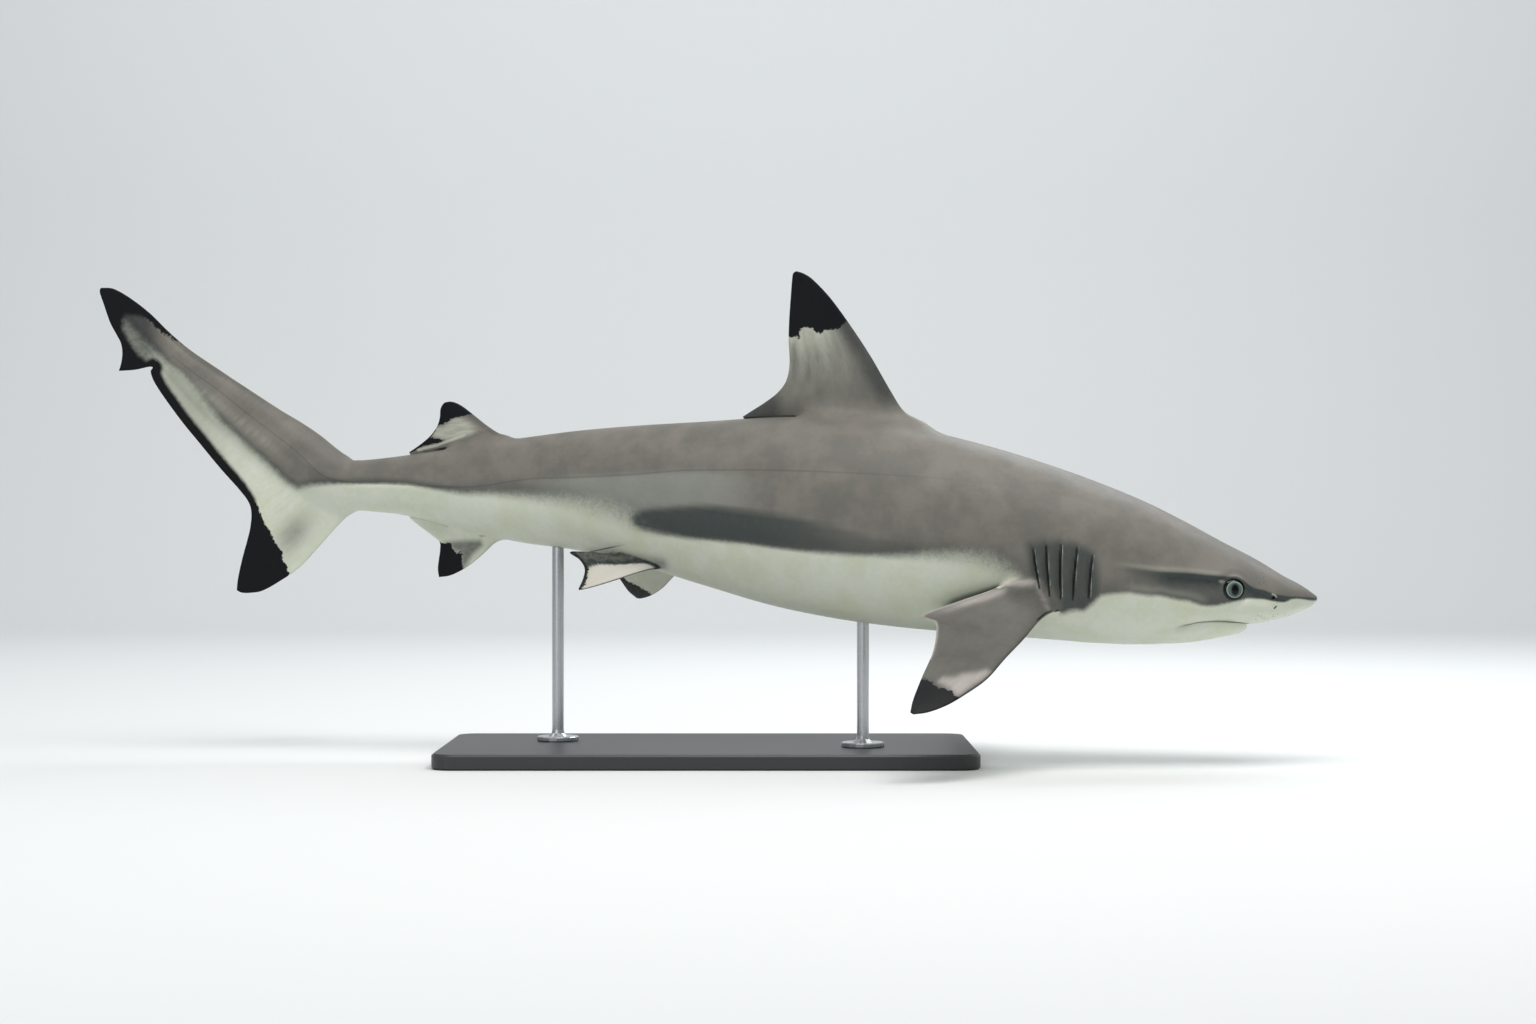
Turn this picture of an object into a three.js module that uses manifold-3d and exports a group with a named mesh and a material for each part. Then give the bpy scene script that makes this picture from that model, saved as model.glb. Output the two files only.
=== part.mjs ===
// Life-size still model of a blacktip reef shark on a two-rod display stand.
//
// Frame: millimetres, +Z up, +X towards the snout, +Y towards the shark's left side.
// The origin is the middle of the underside of the stand's base.
//
// The shark is first described straight, in body coordinates:
//   s  distance behind the snout tip, measured along the body's axis
//   y  distance to the left of the middle plane
//   z  height above the snout tip
// bend() then lays the straight body along the swimming curve and lifts it onto the stand.

import * as THREE from 'three';
import Module from 'manifold-3d';

const wasm = await Module();
wasm.setup();

// ---------------------------------------------------------------- named sizes
const BODY_LENGTH = 1430;      // snout tip to tail tip along the axis
const SNOUT_X = 693.4;         // X of station 0, before the nose is drawn out
const SNOUT_Z = 192;           // Z of the snout tip
const SNOUT_Y = -85;           // Y of the snout tip
const NOSE_REACH = 4.3;        // how far the nose is drawn out to its point
const NOSE_LENGTH = 35;        // length of snout that takes part in that
const SWING = 178.75;          // sideways travel of the axis from snout to tail tip
const GAP = 0.3;               // clearance between neighbouring solids
const AROUND = 28;             // facets around the body

// ---------------------------------------------------------------- swimming curve
function axisY(s) {
  const u = s / BODY_LENGTH;
  return SNOUT_Y + SWING * (u - Math.sin(2 * Math.PI * u) / (2 * Math.PI));
}

function axisSlope(s) {
  return (SWING / BODY_LENGTH) * (1 - Math.cos((2 * Math.PI * s) / BODY_LENGTH));
}

function bend([s, y, z]) {
  const slope = axisSlope(s);
  const norm = Math.hypot(1, slope);
  const nose = NOSE_REACH * Math.max(1 - s / NOSE_LENGTH, 0) ** 2;
  return [SNOUT_X - s + nose + (y * slope) / norm, axisY(s) + y / norm, SNOUT_Z + z];
}

// ---------------------------------------------------------------- smooth curves
// A smooth curve through rows of numbers; the first number of each row is the key.
function smooth(rows, easing = (k) => k) {
  const keys = rows.map((row) => easing(row[0]));
  const slopes = rows.map((row, i) => {
    const a = Math.max(i - 1, 0);
    const b = Math.min(i + 1, rows.length - 1);
    return row.map((_, c) => (rows[b][c] - rows[a][c]) / (keys[b] - keys[a]));
  });
  return (key) => {
    const k = Math.min(Math.max(easing(key), keys[0]), keys[keys.length - 1]);
    let i = 0;
    while (i < keys.length - 2 && k > keys[i + 1]) i += 1;
    const h = keys[i + 1] - keys[i];
    const t = (k - keys[i]) / h;
    const a = 2 * t ** 3 - 3 * t ** 2 + 1;
    const b = t ** 3 - 2 * t ** 2 + t;
    const c = 3 * t ** 2 - 2 * t ** 3;
    const d = t ** 3 - t ** 2;
    return rows[i].map((v, n) =>
      a * v + b * h * slopes[i][n] + c * rows[i + 1][n] + d * h * slopes[i + 1][n]);
  };
}

// A smooth curve through points, with the key spread evenly from 0 to 1.
function path(points) {
  const rows = points.map((p, i) => [i / (points.length - 1), ...p]);
  const f = smooth(rows);
  return (t) => f(t).slice(1);
}

// ---------------------------------------------------------------- body stations
// s, back height, belly height, half width, height of the widest level,
// roundness above and below the widest level (2 is an ellipse).
const STATIONS = [
  [0, 0, 0, 0, 0, 2.0, 2.2],
  [4, 5, -8, 15, -1, 2.0, 2.4],
  [10, 10, -12.5, 25, -1, 2.0, 2.6],
  [20, 17, -17, 36, -1, 2.0, 2.7],
  [38, 27, -23, 49, 0, 2.0, 2.7],
  [72, 47.5, -29.5, 60, 4, 1.9, 2.7],
  [106, 65, -33, 67, 9, 1.85, 2.6],
  [152, 90, -41, 76, 20, 1.85, 2.4],
  [190, 109, -52, 82, 30, 1.9, 2.3],
  [245, 132, -52, 89, 45, 1.9, 2.2],
  [300, 152, -48, 93, 58, 1.95, 2.1],
  [360, 171, -44, 94, 68, 2.0, 2.1],
  [420, 187, -39.5, 93, 75, 2.0, 2.1],
  [480, 200, -34, 91, 82, 2.0, 2.1],
  [545, 208, -25.5, 86, 88, 2.0, 2.1],
  [620, 208.5, -10.5, 77, 95, 2.0, 2.1],
  [703, 204, 13.5, 66, 104, 2.0, 2.1],
  [780, 200, 36, 57, 112, 2.0, 2.1],
  [850, 194.5, 52.5, 48, 119, 2.0, 2.0],
  [920, 186, 62, 39, 123, 2.0, 2.0],
  [990, 176.5, 77, 32, 126, 2.0, 2.0],
  [1060, 166, 94, 25, 129, 2.0, 2.0],
  [1127, 160, 99, 19, 130, 2.0, 2.0],
  [1170, 166, 108, 15, 137, 2.0, 2.0],
];
const stationAt = smooth(STATIONS, Math.sqrt);

function body(s) {
  const [, top, bottom, half, level, up, down] = stationAt(s);
  return { top, bottom, half, level, up, down };
}

// Half width of the body at one height.
function halfWidthAt(s, z) {
  const b = body(s);
  const span = z > b.level ? b.top - b.level : b.level - b.bottom;
  const n = z > b.level ? b.up : b.down;
  const r = Math.min(Math.abs(z - b.level) / span, 1);
  return b.half * (1 - r ** n) ** (1 / n);
}

// ---------------------------------------------------------------- closed solids
// Joins rings of equal length into a closed skin; the two ends are closed flat.
function closedRings(rings, place = bend) {
  const points = rings.flat().map(place);
  const n = rings[0].length;
  const faces = [];
  for (let r = 0; r + 1 < rings.length; r += 1) {
    for (let i = 0; i < n; i += 1) {
      const j = (i + 1) % n;
      const a = r * n + i;
      const b = r * n + j;
      faces.push([a, b, b + n], [a, b + n, a + n]);
    }
  }
  const last = (rings.length - 1) * n;
  for (let i = 1; i + 1 < n; i += 1) {
    faces.push([0, i + 1, i], [last, last + i, last + i + 1]);
  }
  return solidOf(points, faces);
}

function volumeOf(points, faces) {
  let sum = 0;
  for (const [a, b, c] of faces) {
    const [p, q, r] = [points[a], points[b], points[c]];
    sum += p[0] * (q[1] * r[2] - q[2] * r[1]);
    sum += p[1] * (q[2] * r[0] - q[0] * r[2]);
    sum += p[2] * (q[0] * r[1] - q[1] * r[0]);
  }
  return sum / 6;
}

function solidOf(points, faces) {
  const outward = volumeOf(points, faces) > 0;
  const tri = outward ? faces : faces.map(([a, b, c]) => [a, c, b]);
  const mesh = new wasm.Mesh({
    numProp: 3,
    vertProperties: new Float32Array(points.flat()),
    triVerts: new Uint32Array(tri.flat()),
  });
  mesh.merge();
  return new wasm.Manifold(mesh);
}

// A three.js geometry turned into a solid, with a place function for its vertices.
function fromGeometry(geometry, place = (p) => p) {
  const pos = geometry.attributes.position;
  const seen = new Map();
  const points = [];
  const ids = [];
  for (let i = 0; i < pos.count; i += 1) {
    const p = [pos.getX(i), pos.getY(i), pos.getZ(i)];
    const key = p.map((v) => Math.round(v * 1e4)).join(',');
    if (!seen.has(key)) {
      seen.set(key, points.length);
      points.push(place(p));
    }
    ids.push(seen.get(key));
  }
  const order = geometry.index ? [...geometry.index.array].map((i) => ids[i]) : ids;
  const faces = [];
  for (let i = 0; i < order.length; i += 3) {
    const [a, b, c] = [order[i], order[i + 1], order[i + 2]];
    if (a !== b && b !== c && c !== a) faces.push([a, b, c]);
  }
  return solidOf(points, faces);
}

function fuse(solids) {
  return solids.reduce((all, one) => all.add(one));
}

function largest(solid) {
  const pieces = solid.decompose();
  pieces.sort((a, b) => b.volume() - a.volume());
  return pieces[0];
}

// ---------------------------------------------------------------- body
const BODY_ROWS = [
  0.6, 4, 10, 20, 38, 55, 72, 90, 106, 128, 152, 175, 205, 245, 285, 330, 375, 420,
  465, 510, 555, 600, 650, 703, 755, 805, 855, 905, 955, 1005, 1060, 1127,
];

function bodyRing(s, grow) {
  const b = body(s);
  const ring = [];
  for (let i = 0; i < AROUND; i += 1) {
    const angle = (2 * Math.PI * (i + 0.5)) / AROUND;
    const c = Math.cos(angle);
    const d = Math.sin(angle);
    const n = d > 0 ? b.up : b.down;
    const reach = d > 0 ? b.top - b.level + grow : b.level - b.bottom + grow;
    const y = (b.half + grow) * Math.sign(c) * Math.abs(c) ** (2 / n);
    const z = b.level + reach * Math.sign(d) * Math.abs(d) ** (2 / n);
    ring.push([s, y, z]);
  }
  return ring;
}

function bodySolid(grow) {
  const rings = BODY_ROWS.map((s) => bodyRing(s, grow));
  if (grow > 0) rings.push(bodyRing(1127 + grow, grow));
  if (grow > 0) rings.unshift(bodyRing(0.3, grow));
  return closedRings(rings);
}

const core = bodySolid(0);
const coreGrown = bodySolid(GAP);
const coreShrunk = bodySolid(-5);

// A thin slab across the body at one station, used to part neighbouring lengths.
function slab(from, to) {
  const wide = 400;
  const ring = (s) => [[s, -wide, -300], [s, wide, -300], [s, wide, 600], [s, -wide, 600]];
  return closedRings([ring(from), ring(to)]);
}

// The part of a solid between two stations, with half a gap left at each end.
function lengthOf(solid, from, to) {
  return solid.intersect(slab(from + GAP / 2, to - GAP / 2));
}

// ---------------------------------------------------------------- lower jaw
// A scoop under the snout: its front is a parabola and it dies out under the throat.
const JAW_FRONT = 76;
const JAW_BACK = 196;
const JAW_RIM = -24;
const JAW_LID = -18;
const jawDepth = smooth([[76, -36], [84, -39.5], [106, -45], [152, -51.5], [196, -53]]);

function jawRing(s) {
  const along = (s - JAW_FRONT) / (JAW_BACK - JAW_FRONT);
  const parabola = 56 * Math.sqrt(Math.max(along, 0) * 1.55) + 2;
  const wide = Math.min(parabola, halfWidthAt(s, -22) - 1.5);
  const depth = jawDepth(s)[1];
  const ring = [];
  for (let i = 0; i < 16; i += 1) {
    const angle = (2 * Math.PI * (i + 0.5)) / 16;
    const c = Math.cos(angle);
    const d = Math.sin(angle);
    const rise = Math.abs(d) ** 0.8;
    const z = d > 0 ? JAW_RIM + (JAW_LID - JAW_RIM) * rise : JAW_RIM + (depth - JAW_RIM) * rise;
    ring.push([s, wide * Math.sign(c) * Math.abs(c) ** 0.8, z]);
  }
  return ring;
}

const JAW_ROWS = [76, 78, 84, 94, 106, 122, 140, 160, 180, 196];
const jawScoop = closedRings(JAW_ROWS.map(jawRing));

// ---------------------------------------------------------------- eyes and nostrils
const EYE_AT = [101, 59.5, 11];

function eyeBall(side, grow) {
  const ball = new THREE.SphereGeometry(1, 16, 8);
  const size = [13.6 + grow, 8.2 + grow, 13.4 + grow];
  const place = ([x, y, z]) => bend([
    EYE_AT[0] + x * size[0],
    side * EYE_AT[1] + y * size[1],
    EYE_AT[2] + z * size[2],
  ]);
  return fromGeometry(ball, place);
}

function nostril(side) {
  const ball = new THREE.SphereGeometry(1, 8, 6);
  const place = ([x, y, z]) => bend([51 + x * 3.5 - z * 1.5, side * (52 - z * 2) + y * 7, -5 + z * 8]);
  return fromGeometry(ball, place);
}

// ---------------------------------------------------------------- gill slits
// Top and bottom of each of the five slits as station and height.
const GILLS = [
  [[255, 49], [260, 4]],
  [[273, 57], [275, 0]],
  [[288, 59], [288, 0]],
  [[303, 59], [300, 3]],
  [[318, 56], [311, 20]],
];

function gillSlits(side) {
  const cutters = GILLS.map(([top, bottom]) => {
    const rings = [0, 0.5, 1].map((t) => {
      const z = top[1] + (bottom[1] - top[1]) * t;
      const bow = 3 * Math.sin(Math.PI * t);
      const s = top[0] + (bottom[0] - top[0]) * t - bow;
      const half = 0.5 + 0.6 * Math.sin(Math.PI * t);
      const [near, far] = [side * 60, side * 120];
      return [[s - half, near, z], [s + half, near, z], [s + half, far, z], [s - half, far, z]];
    });
    return closedRings(rings);
  });
  return fuse(cutters).subtract(coreShrunk);
}

// ---------------------------------------------------------------- fins in the middle plane
// A prism with the fin's outline, crossing the middle plane.
function prism(points) {
  const shape = new THREE.Shape(points.map(([s, z]) => new THREE.Vector2(s, z)));
  const geometry = new THREE.ExtrudeGeometry(shape, { depth: 80, bevelEnabled: false, steps: 1 });
  return fromGeometry(geometry, ([s, z, w]) => bend([s, w - 40, z]));
}

function outlineOf(control, count) {
  const f = path(control);
  return Array.from({ length: count + 1 }, (_, i) => f(i / count));
}

// A blade: chords run from the lead line to the rear line, thickest near the lead.
function blade({ lead, rear, thick, rows = 6, cols = 6, place = bend, across }) {
  const leadAt = path(lead);
  const rearAt = path(rear);
  const thickAt = path(thick);
  const rings = [];
  for (let r = 0; r <= rows; r += 1) {
    const t = r / rows;
    const a = leadAt(t);
    const b = rearAt(t);
    const [most, edge] = thickAt(t);
    const near = [];
    const far = [];
    for (let k = 0; k <= cols; k += 1) {
      const c = (k / cols) ** 1.5;
      const foil = 2.6 * Math.sqrt(c) * (1 - c) ** 0.9 * (1 - 0.35 * c);
      const half = (most * Math.min(foil / 1.12, 1)) / 2 + edge / 2;
      const mid = a.map((v, n) => v + (b[n] - v) * c);
      const side = across(t, c);
      near.push(mid.map((v, n) => v + side[n] * half));
      far.push(mid.map((v, n) => v - side[n] * half));
    }
    rings.push([...near, ...far.reverse()]);
  }
  return closedRings(rings, place);
}

const sideways = () => [0, 1, 0];
const flat = (points) => points.map(([s, z]) => [s, 0, z]);

// First dorsal fin: tall, swept, with a free rear tip lying over the back.
const dorsalOutline = [
  ...outlineOf([[440, 172], [449, 200], [465, 211], [482, 238], [505, 279], [528, 315],
    [551, 347], [572, 369], [583, 376], [590, 378.5]], 16),
  ...outlineOf([[594.5, 376], [596, 355], [599, 322], [599, 290], [598, 272], [602, 251],
    [618, 232], [634, 220.5], [653, 210]], 14),
  [652, 208.6], [622, 209.6], [592, 209.5], [586, 196], [540, 180],
];
const dorsalBlade = blade({
  lead: flat([[438, 165], [464, 209], [504, 279], [550, 347], [592, 384]]),
  rear: flat([[664, 165], [662, 209], [612, 279], [608, 347], [606, 384]]),
  thick: [[15, 1.2], [13, 1.2], [8, 1.1], [4, 1.1], [1, 1.1]],
  across: sideways,
});

// Second dorsal fin: low, with a long free rear tip.
const secondOutline = [
  ...outlineOf([[928, 170], [935, 188], [950, 194.5], [962, 203], [978, 216], [990, 225],
    [999, 229.5], [1005, 230.6]], 9),
  ...outlineOf([[1012, 229], [1017, 221], [1017, 210], [1021, 200], [1029, 189],
    [1041, 178.5], [1055, 169.5]], 9),
  [1054, 168.2], [1034, 171.5], [1014, 175], [1008, 165],
];
const secondBlade = blade({
  lead: flat([[922, 150], [946, 191], [975, 214], [1003, 236]]),
  rear: flat([[1064, 150], [1062, 185], [1026, 214], [1022, 236]]),
  thick: [[9, 1.1], [7, 1.1], [4, 1.0], [1, 1.0]],
  rows: 5,
  across: sideways,
});

// Anal fin: like the second dorsal, under the tail, a little further forward.
const analOutline = [
  ...outlineOf([[942, 84], [950, 62], [962, 50], [978, 36.5], [993, 27], [1006, 21.5],
    [1018, 20]], 8),
  ...outlineOf([[1019.5, 30], [1018, 42], [1017, 54], [1019, 65], [1030, 71], [1042, 79.5],
    [1055, 91]], 9),
  [1054, 92.4], [1034, 87.5], [1014, 82], [1008, 92],
];
const analBlade = blade({
  lead: flat([[936, 100], [956, 55], [986, 31], [1016, 14]]),
  rear: flat([[1064, 100], [1062, 70], [1027, 38], [1026, 14]]),
  thick: [[9, 1.1], [7, 1.1], [4, 1.0], [1, 1.0]],
  rows: 5,
  across: sideways,
});

// ---------------------------------------------------------------- tail fin
// The fork parts the two lobes; the upper one carries the tail's thick axis.
const FORK = [1249, 106];
const ROOT_LOW = [1127, 99];

const upperLobe = [
  ...outlineOf([[1127, 160], [1143, 173], [1164, 191], [1188, 206.5], [1213, 221], [1250, 245.5],
    [1286, 269.5], [1322, 294], [1347, 315], [1371, 338.5], [1395, 357], [1415, 368],
    [1430, 369]], 18),
  [1431.5, 365], [1426, 347], [1419, 327], [1412, 313], [1406, 303], [1404, 292], [1405.5, 279],
  [1408.5, 268.5], [1389, 269.8], [1370, 273.5], [1366.5, 272.6],
  ...outlineOf([[1370, 268], [1362, 249], [1335, 211.5], [1310, 180.5], [1286, 151.5],
    [1262, 124], FORK], 14),
  ROOT_LOW,
];

const lowerLobe = [
  ROOT_LOW,
  FORK,
  ...outlineOf([[1247.5, 96], [1249, 80], [1253, 63], [1259, 41], [1264, 18], [1265.5, 4]], 9),
  ...outlineOf([[1261, 0.8], [1249, 0.2], [1234, 2.8], [1213, 14.5], [1188, 32], [1164, 57],
    [1146, 77], [1127, 97]], 14),
];

// Half thickness of the tail fin: a muscular axis in the upper lobe, a thin web below.
function tailHalf(s, z) {
  const u = Math.min(Math.max((s - 1110) / 320, 0), 1);
  const axisZ = 130 + 238 * u ** 0.93;
  const off = z - axisZ;
  const spread = (off > 0 ? 24 : 34) * (1 - 0.72 * u) + 4;
  const muscle = 19 * (1 - u) ** 1.5 + 1.2;
  const web = 3.4 - 2.2 * Math.min(Math.hypot(s - 1180, z - 105) / 160, 1);
  return Math.max(web, 0.7) + muscle * Math.exp(-((off / spread) ** 2));
}

function tailBlade() {
  const rings = [];
  for (let r = 0; r <= 14; r += 1) {
    const s = 1112 + (328 * r) / 14;
    const low = Math.max(-12, (s - 1270) * 1.45);
    const high = Math.min(385, 175 + (s - 1112) * 0.9);
    const near = [];
    const far = [];
    for (let k = 0; k <= 8; k += 1) {
      const z = low + ((high - low) * k) / 8;
      near.push([s, tailHalf(s, z), z]);
      far.push([s, -tailHalf(s, z), z]);
    }
    rings.push([...near, ...far.reverse()]);
  }
  return closedRings(rings);
}

// ---------------------------------------------------------------- paired fins
// Outlines as station, distance from the middle plane and height.
const PECTORAL = {
  lead: [[292, 50, 6], [301, 80, -12], [314, 101, -25], [327, 126, -41], [345, 157, -61],
    [362, 189, -82], [380, 217, -96], [397, 240, -107], [414, 255, -114], [427, 262, -116]],
  rear: [[346, 50, 34], [352, 84, 16], [396, 99, -2], [434, 114, -17], [420, 126, -22],
    [416, 142, -33], [417, 172, -55], [424, 212, -80], [429, 245, -101], [430.5, 260, -114]],
  thick: [[24, 2], [22, 1.8], [18, 1.4], [14, 1.2], [11, 1.1], [8, 1.1], [6, 1], [4, 1],
    [2, 0.9], [0.6, 0.9]],
};

const PELVIC = {
  lead: [[730, 18, 58], [741, 32, 35], [752, 43, 31], [766, 56, 26], [781, 70, 20],
    [797, 85, 14], [809, 97, 10], [816, 104, 8.5]],
  rear: [[792, 18, 66], [800, 36, 50], [822, 44, 51], [843, 52, 51], [829, 62, 43],
    [818, 77, 33], [815, 92, 22], [817, 103.5, 10]],
  thick: [[9, 1.6], [8, 1.4], [6, 1.2], [5, 1.1], [4, 1], [3, 1], [2, 0.9], [0.5, 0.9]],
};

// The left pelvic fin hangs lower than the right one and is swung a little forward.
const PELVIC_LEFT = {
  lead: [[722, 18, 54], [734, 34, 35], [746, 48, 23], [756, 59, 15], [768, 72, 6],
    [781, 84, -1], [792, 93, -5], [802, 99, -7.4]],
  rear: [[790, 18, 64], [798, 36, 48], [820, 44, 47], [841, 52, 46], [829, 65, 33],
    [821, 80, 16], [815, 93, 2], [807, 101, -7]],
  thick: PELVIC.thick,
};

// A paired fin from its tables; side is 1 for the left and -1 for the right.
function pairedFin({ lead, rear, thick }, side, rows, cols) {
  const mirror = ([s, y, z]) => [s, side * y, z];
  const leadLine = lead.map(mirror);
  const rearLine = rear.map(mirror);
  const leadAt = path(leadLine);
  const rearAt = path(rearLine);
  const across = (t) => {
    const a = leadAt(t);
    const b = rearAt(t);
    const a2 = leadAt(Math.min(t + 0.1, 1));
    const a1 = leadAt(Math.max(t - 0.1, 0));
    const chord = new THREE.Vector3(b[0] - a[0], b[1] - a[1], b[2] - a[2]);
    const span = new THREE.Vector3(a2[0] - a1[0], a2[1] - a1[1], a2[2] - a1[2]);
    const up = chord.cross(span).normalize();
    return [up.x, up.y, up.z];
  };
  return blade({ lead: leadLine, rear: rearLine, thick, rows, cols, across });
}

// ---------------------------------------------------------------- stand
const BASE = { long: 620, wide: 300, high: 18, corner: 22, bevel: 2.5 };
const RODS = { front: [180, -43], rear: [-180, 43] };

function baseSolid() {
  const [a, b, r] = [BASE.long / 2 - BASE.bevel, BASE.wide / 2 - BASE.bevel, BASE.corner];
  const shape = new THREE.Shape();
  shape.moveTo(-a + r, -b);
  shape.lineTo(a - r, -b);
  shape.absarc(a - r, -b + r, r, -Math.PI / 2, 0, false);
  shape.absarc(a - r, b - r, r, 0, Math.PI / 2, false);
  shape.absarc(-a + r, b - r, r, Math.PI / 2, Math.PI, false);
  shape.absarc(-a + r, -b + r, r, Math.PI, 1.5 * Math.PI, false);
  const geometry = new THREE.ExtrudeGeometry(shape, {
    depth: BASE.high - 2 * BASE.bevel,
    bevelEnabled: true,
    bevelThickness: BASE.bevel,
    bevelSize: BASE.bevel,
    bevelSegments: 1,
    curveSegments: 5,
  });
  return fromGeometry(geometry, ([x, y, z]) => [x, y, z + BASE.bevel]);
}

// A rod with a round foot plate, cut to the belly's surface at its upper end.
function rodSolid([x, y]) {
  const z0 = BASE.high;
  const profile = [[0, 0], [24, 0], [25, 1], [25, 4.5], [24, 5.5], [12, 5.5], [7.8, 9], [7, 13],
    [7, 260], [0, 260]].map(([r, z]) => new THREE.Vector2(r, z));
  const lathe = new THREE.LatheGeometry(profile, 18);
  const rod = fromGeometry(lathe, ([px, py, pz]) => [x + px, y - pz, z0 + py]);
  return largest(rod.subtract(coreGrown));
}

// ---------------------------------------------------------------- assembly
const body0 = core;
const eyes = { right: eyeBall(-1, 0), left: eyeBall(1, 0) };
const sockets = eyeBall(-1, GAP).add(eyeBall(1, GAP));

const head = lengthOf(body0, -20, 245)
  .subtract(sockets)
  .subtract(nostril(-1))
  .subtract(nostril(1));
const jaw = largest(jawScoop.subtract(coreGrown));
const gillRegion = lengthOf(body0, 245, 375).subtract(gillSlits(-1)).subtract(gillSlits(1));

function medianFin(outline, shape, body1) {
  return largest(prism(outline).intersect(shape).subtract(body1));
}

const tailStock = tailBlade();
const tailUpper = largest(prism(upperLobe).intersect(tailStock).subtract(slab(1100, 1127 + GAP / 2)));
const upperGrown = prism(upperLobe).translate([0, 0, -GAP]).add(prism(upperLobe));
const tailLower = largest(prism(lowerLobe).intersect(tailStock)
  .subtract(slab(1100, 1127 + GAP / 2))
  .subtract(upperGrown));

const parts = [
  ['head', head, 'back'],
  ['lower_jaw', jaw, 'belly'],
  ['gill_region', gillRegion, 'back'],
  ['trunk_front', lengthOf(body0, 375, 690), 'back'],
  ['trunk_rear', lengthOf(body0, 690, 905), 'back'],
  ['tail_stalk', lengthOf(body0, 905, 1127), 'back'],
  ['caudal_fin_upper_lobe', tailUpper, 'back'],
  ['caudal_fin_lower_lobe', tailLower, 'back'],
  ['first_dorsal_fin', medianFin(dorsalOutline, dorsalBlade, coreGrown), 'back'],
  ['second_dorsal_fin', medianFin(secondOutline, secondBlade, coreGrown), 'back'],
  ['anal_fin', medianFin(analOutline, analBlade, coreGrown), 'belly'],
  ['pectoral_fin_right', largest(pairedFin(PECTORAL, -1, 12, 9).subtract(coreGrown)), 'back'],
  ['pectoral_fin_left', largest(pairedFin(PECTORAL, 1, 12, 9).subtract(coreGrown)), 'back'],
  ['pelvic_fin_right', largest(pairedFin(PELVIC, -1, 8, 7).subtract(coreGrown)), 'belly'],
  ['pelvic_fin_left', largest(pairedFin(PELVIC_LEFT, 1, 8, 7).subtract(coreGrown)), 'belly'],
  ['eye_right', eyes.right, 'eye'],
  ['eye_left', eyes.left, 'eye'],
  ['stand_base', baseSolid(), 'base'],
  ['stand_rod_front', rodSolid(RODS.front), 'rod'],
  ['stand_rod_rear', rodSolid(RODS.rear), 'rod'],
];

const LOOKS = {
  back: { color: 0x6f6b64, roughness: 0.48, metalness: 0 },
  belly: { color: 0xc6cfbe, roughness: 0.45, metalness: 0 },
  eye: { color: 0x9fae9c, roughness: 0.08, metalness: 0 },
  base: { color: 0x2b2c2e, roughness: 0.5, metalness: 0 },
  rod: { color: 0xb9bbbd, roughness: 0.3, metalness: 1 },
};

function toMesh(name, solid, look) {
  const mesh = solid.getMesh();
  const geometry = new THREE.BufferGeometry();
  geometry.setAttribute('position', new THREE.BufferAttribute(mesh.vertProperties, 3));
  geometry.setIndex(new THREE.BufferAttribute(mesh.triVerts, 1));
  geometry.computeVertexNormals();
  const object = new THREE.Mesh(geometry, new THREE.MeshStandardMaterial(LOOKS[look]));
  object.name = name;
  return object;
}

const group = new THREE.Group();
group.name = 'reef_shark';
let faceCount = 0;
for (const [name, solid, look] of parts) {
  const mesh = toMesh(name, solid, look);
  faceCount += mesh.geometry.index.count / 3;
  console.log(name, mesh.geometry.index.count / 3, (solid.volume() / 1e6).toFixed(4));
  group.add(mesh);
}
console.log('triangles', faceCount);

export default group;
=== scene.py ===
"""Looks of the life-size blacktip reef shark on its display stand.

The shark's skin is modelled straight, in millimetres, as s (distance behind the snout
tip), y (to the left of the middle plane) and z (height above the snout tip). At the end
bend() lays it along the swimming curve, in metres, in the row's frame.
"""

import math

import bmesh
import bpy
import numpy as np
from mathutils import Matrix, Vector, geometry
from mathutils.bvhtree import BVHTree


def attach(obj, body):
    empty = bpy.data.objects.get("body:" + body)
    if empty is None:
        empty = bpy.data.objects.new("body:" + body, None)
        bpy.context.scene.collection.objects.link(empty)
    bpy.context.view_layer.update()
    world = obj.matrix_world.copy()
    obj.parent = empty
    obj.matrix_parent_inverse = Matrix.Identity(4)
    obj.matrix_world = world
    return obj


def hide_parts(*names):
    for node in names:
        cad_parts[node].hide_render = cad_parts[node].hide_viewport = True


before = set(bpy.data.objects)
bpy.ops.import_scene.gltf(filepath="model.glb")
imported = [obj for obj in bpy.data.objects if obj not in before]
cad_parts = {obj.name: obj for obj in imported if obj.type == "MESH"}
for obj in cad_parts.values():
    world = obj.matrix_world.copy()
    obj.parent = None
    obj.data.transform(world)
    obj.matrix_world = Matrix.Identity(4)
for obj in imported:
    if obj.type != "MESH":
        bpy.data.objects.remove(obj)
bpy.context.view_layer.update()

FINE = 1.0

# ------------------------------------------------------------------ swimming curve
BODY_LENGTH = 1430.0
SNOUT = (693.4, -85.0, 192.0)
SWING = 178.75
NOSE_REACH = 4.3
NOSE_LENGTH = 35.0


def axis_y(s):
    u = s / BODY_LENGTH
    return SNOUT[1] + SWING * (u - np.sin(2 * np.pi * u) / (2 * np.pi))


def axis_slope(s):
    return SWING / BODY_LENGTH * (1 - np.cos(2 * np.pi * s / BODY_LENGTH))


def bend(points):
    """Straight coordinates in millimetres to the row's frame in metres."""
    s, y, z = points[:, 0], points[:, 1], points[:, 2]
    slope = axis_slope(s)
    norm = np.sqrt(1 + slope ** 2)
    nose = NOSE_REACH * np.clip(1 - s / NOSE_LENGTH, 0, 1) ** 2
    x = SNOUT[0] - s + nose + y * slope / norm
    world = np.stack([x, axis_y(s) + y / norm, SNOUT[2] + z], 1)
    return world / 1000.0


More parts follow.
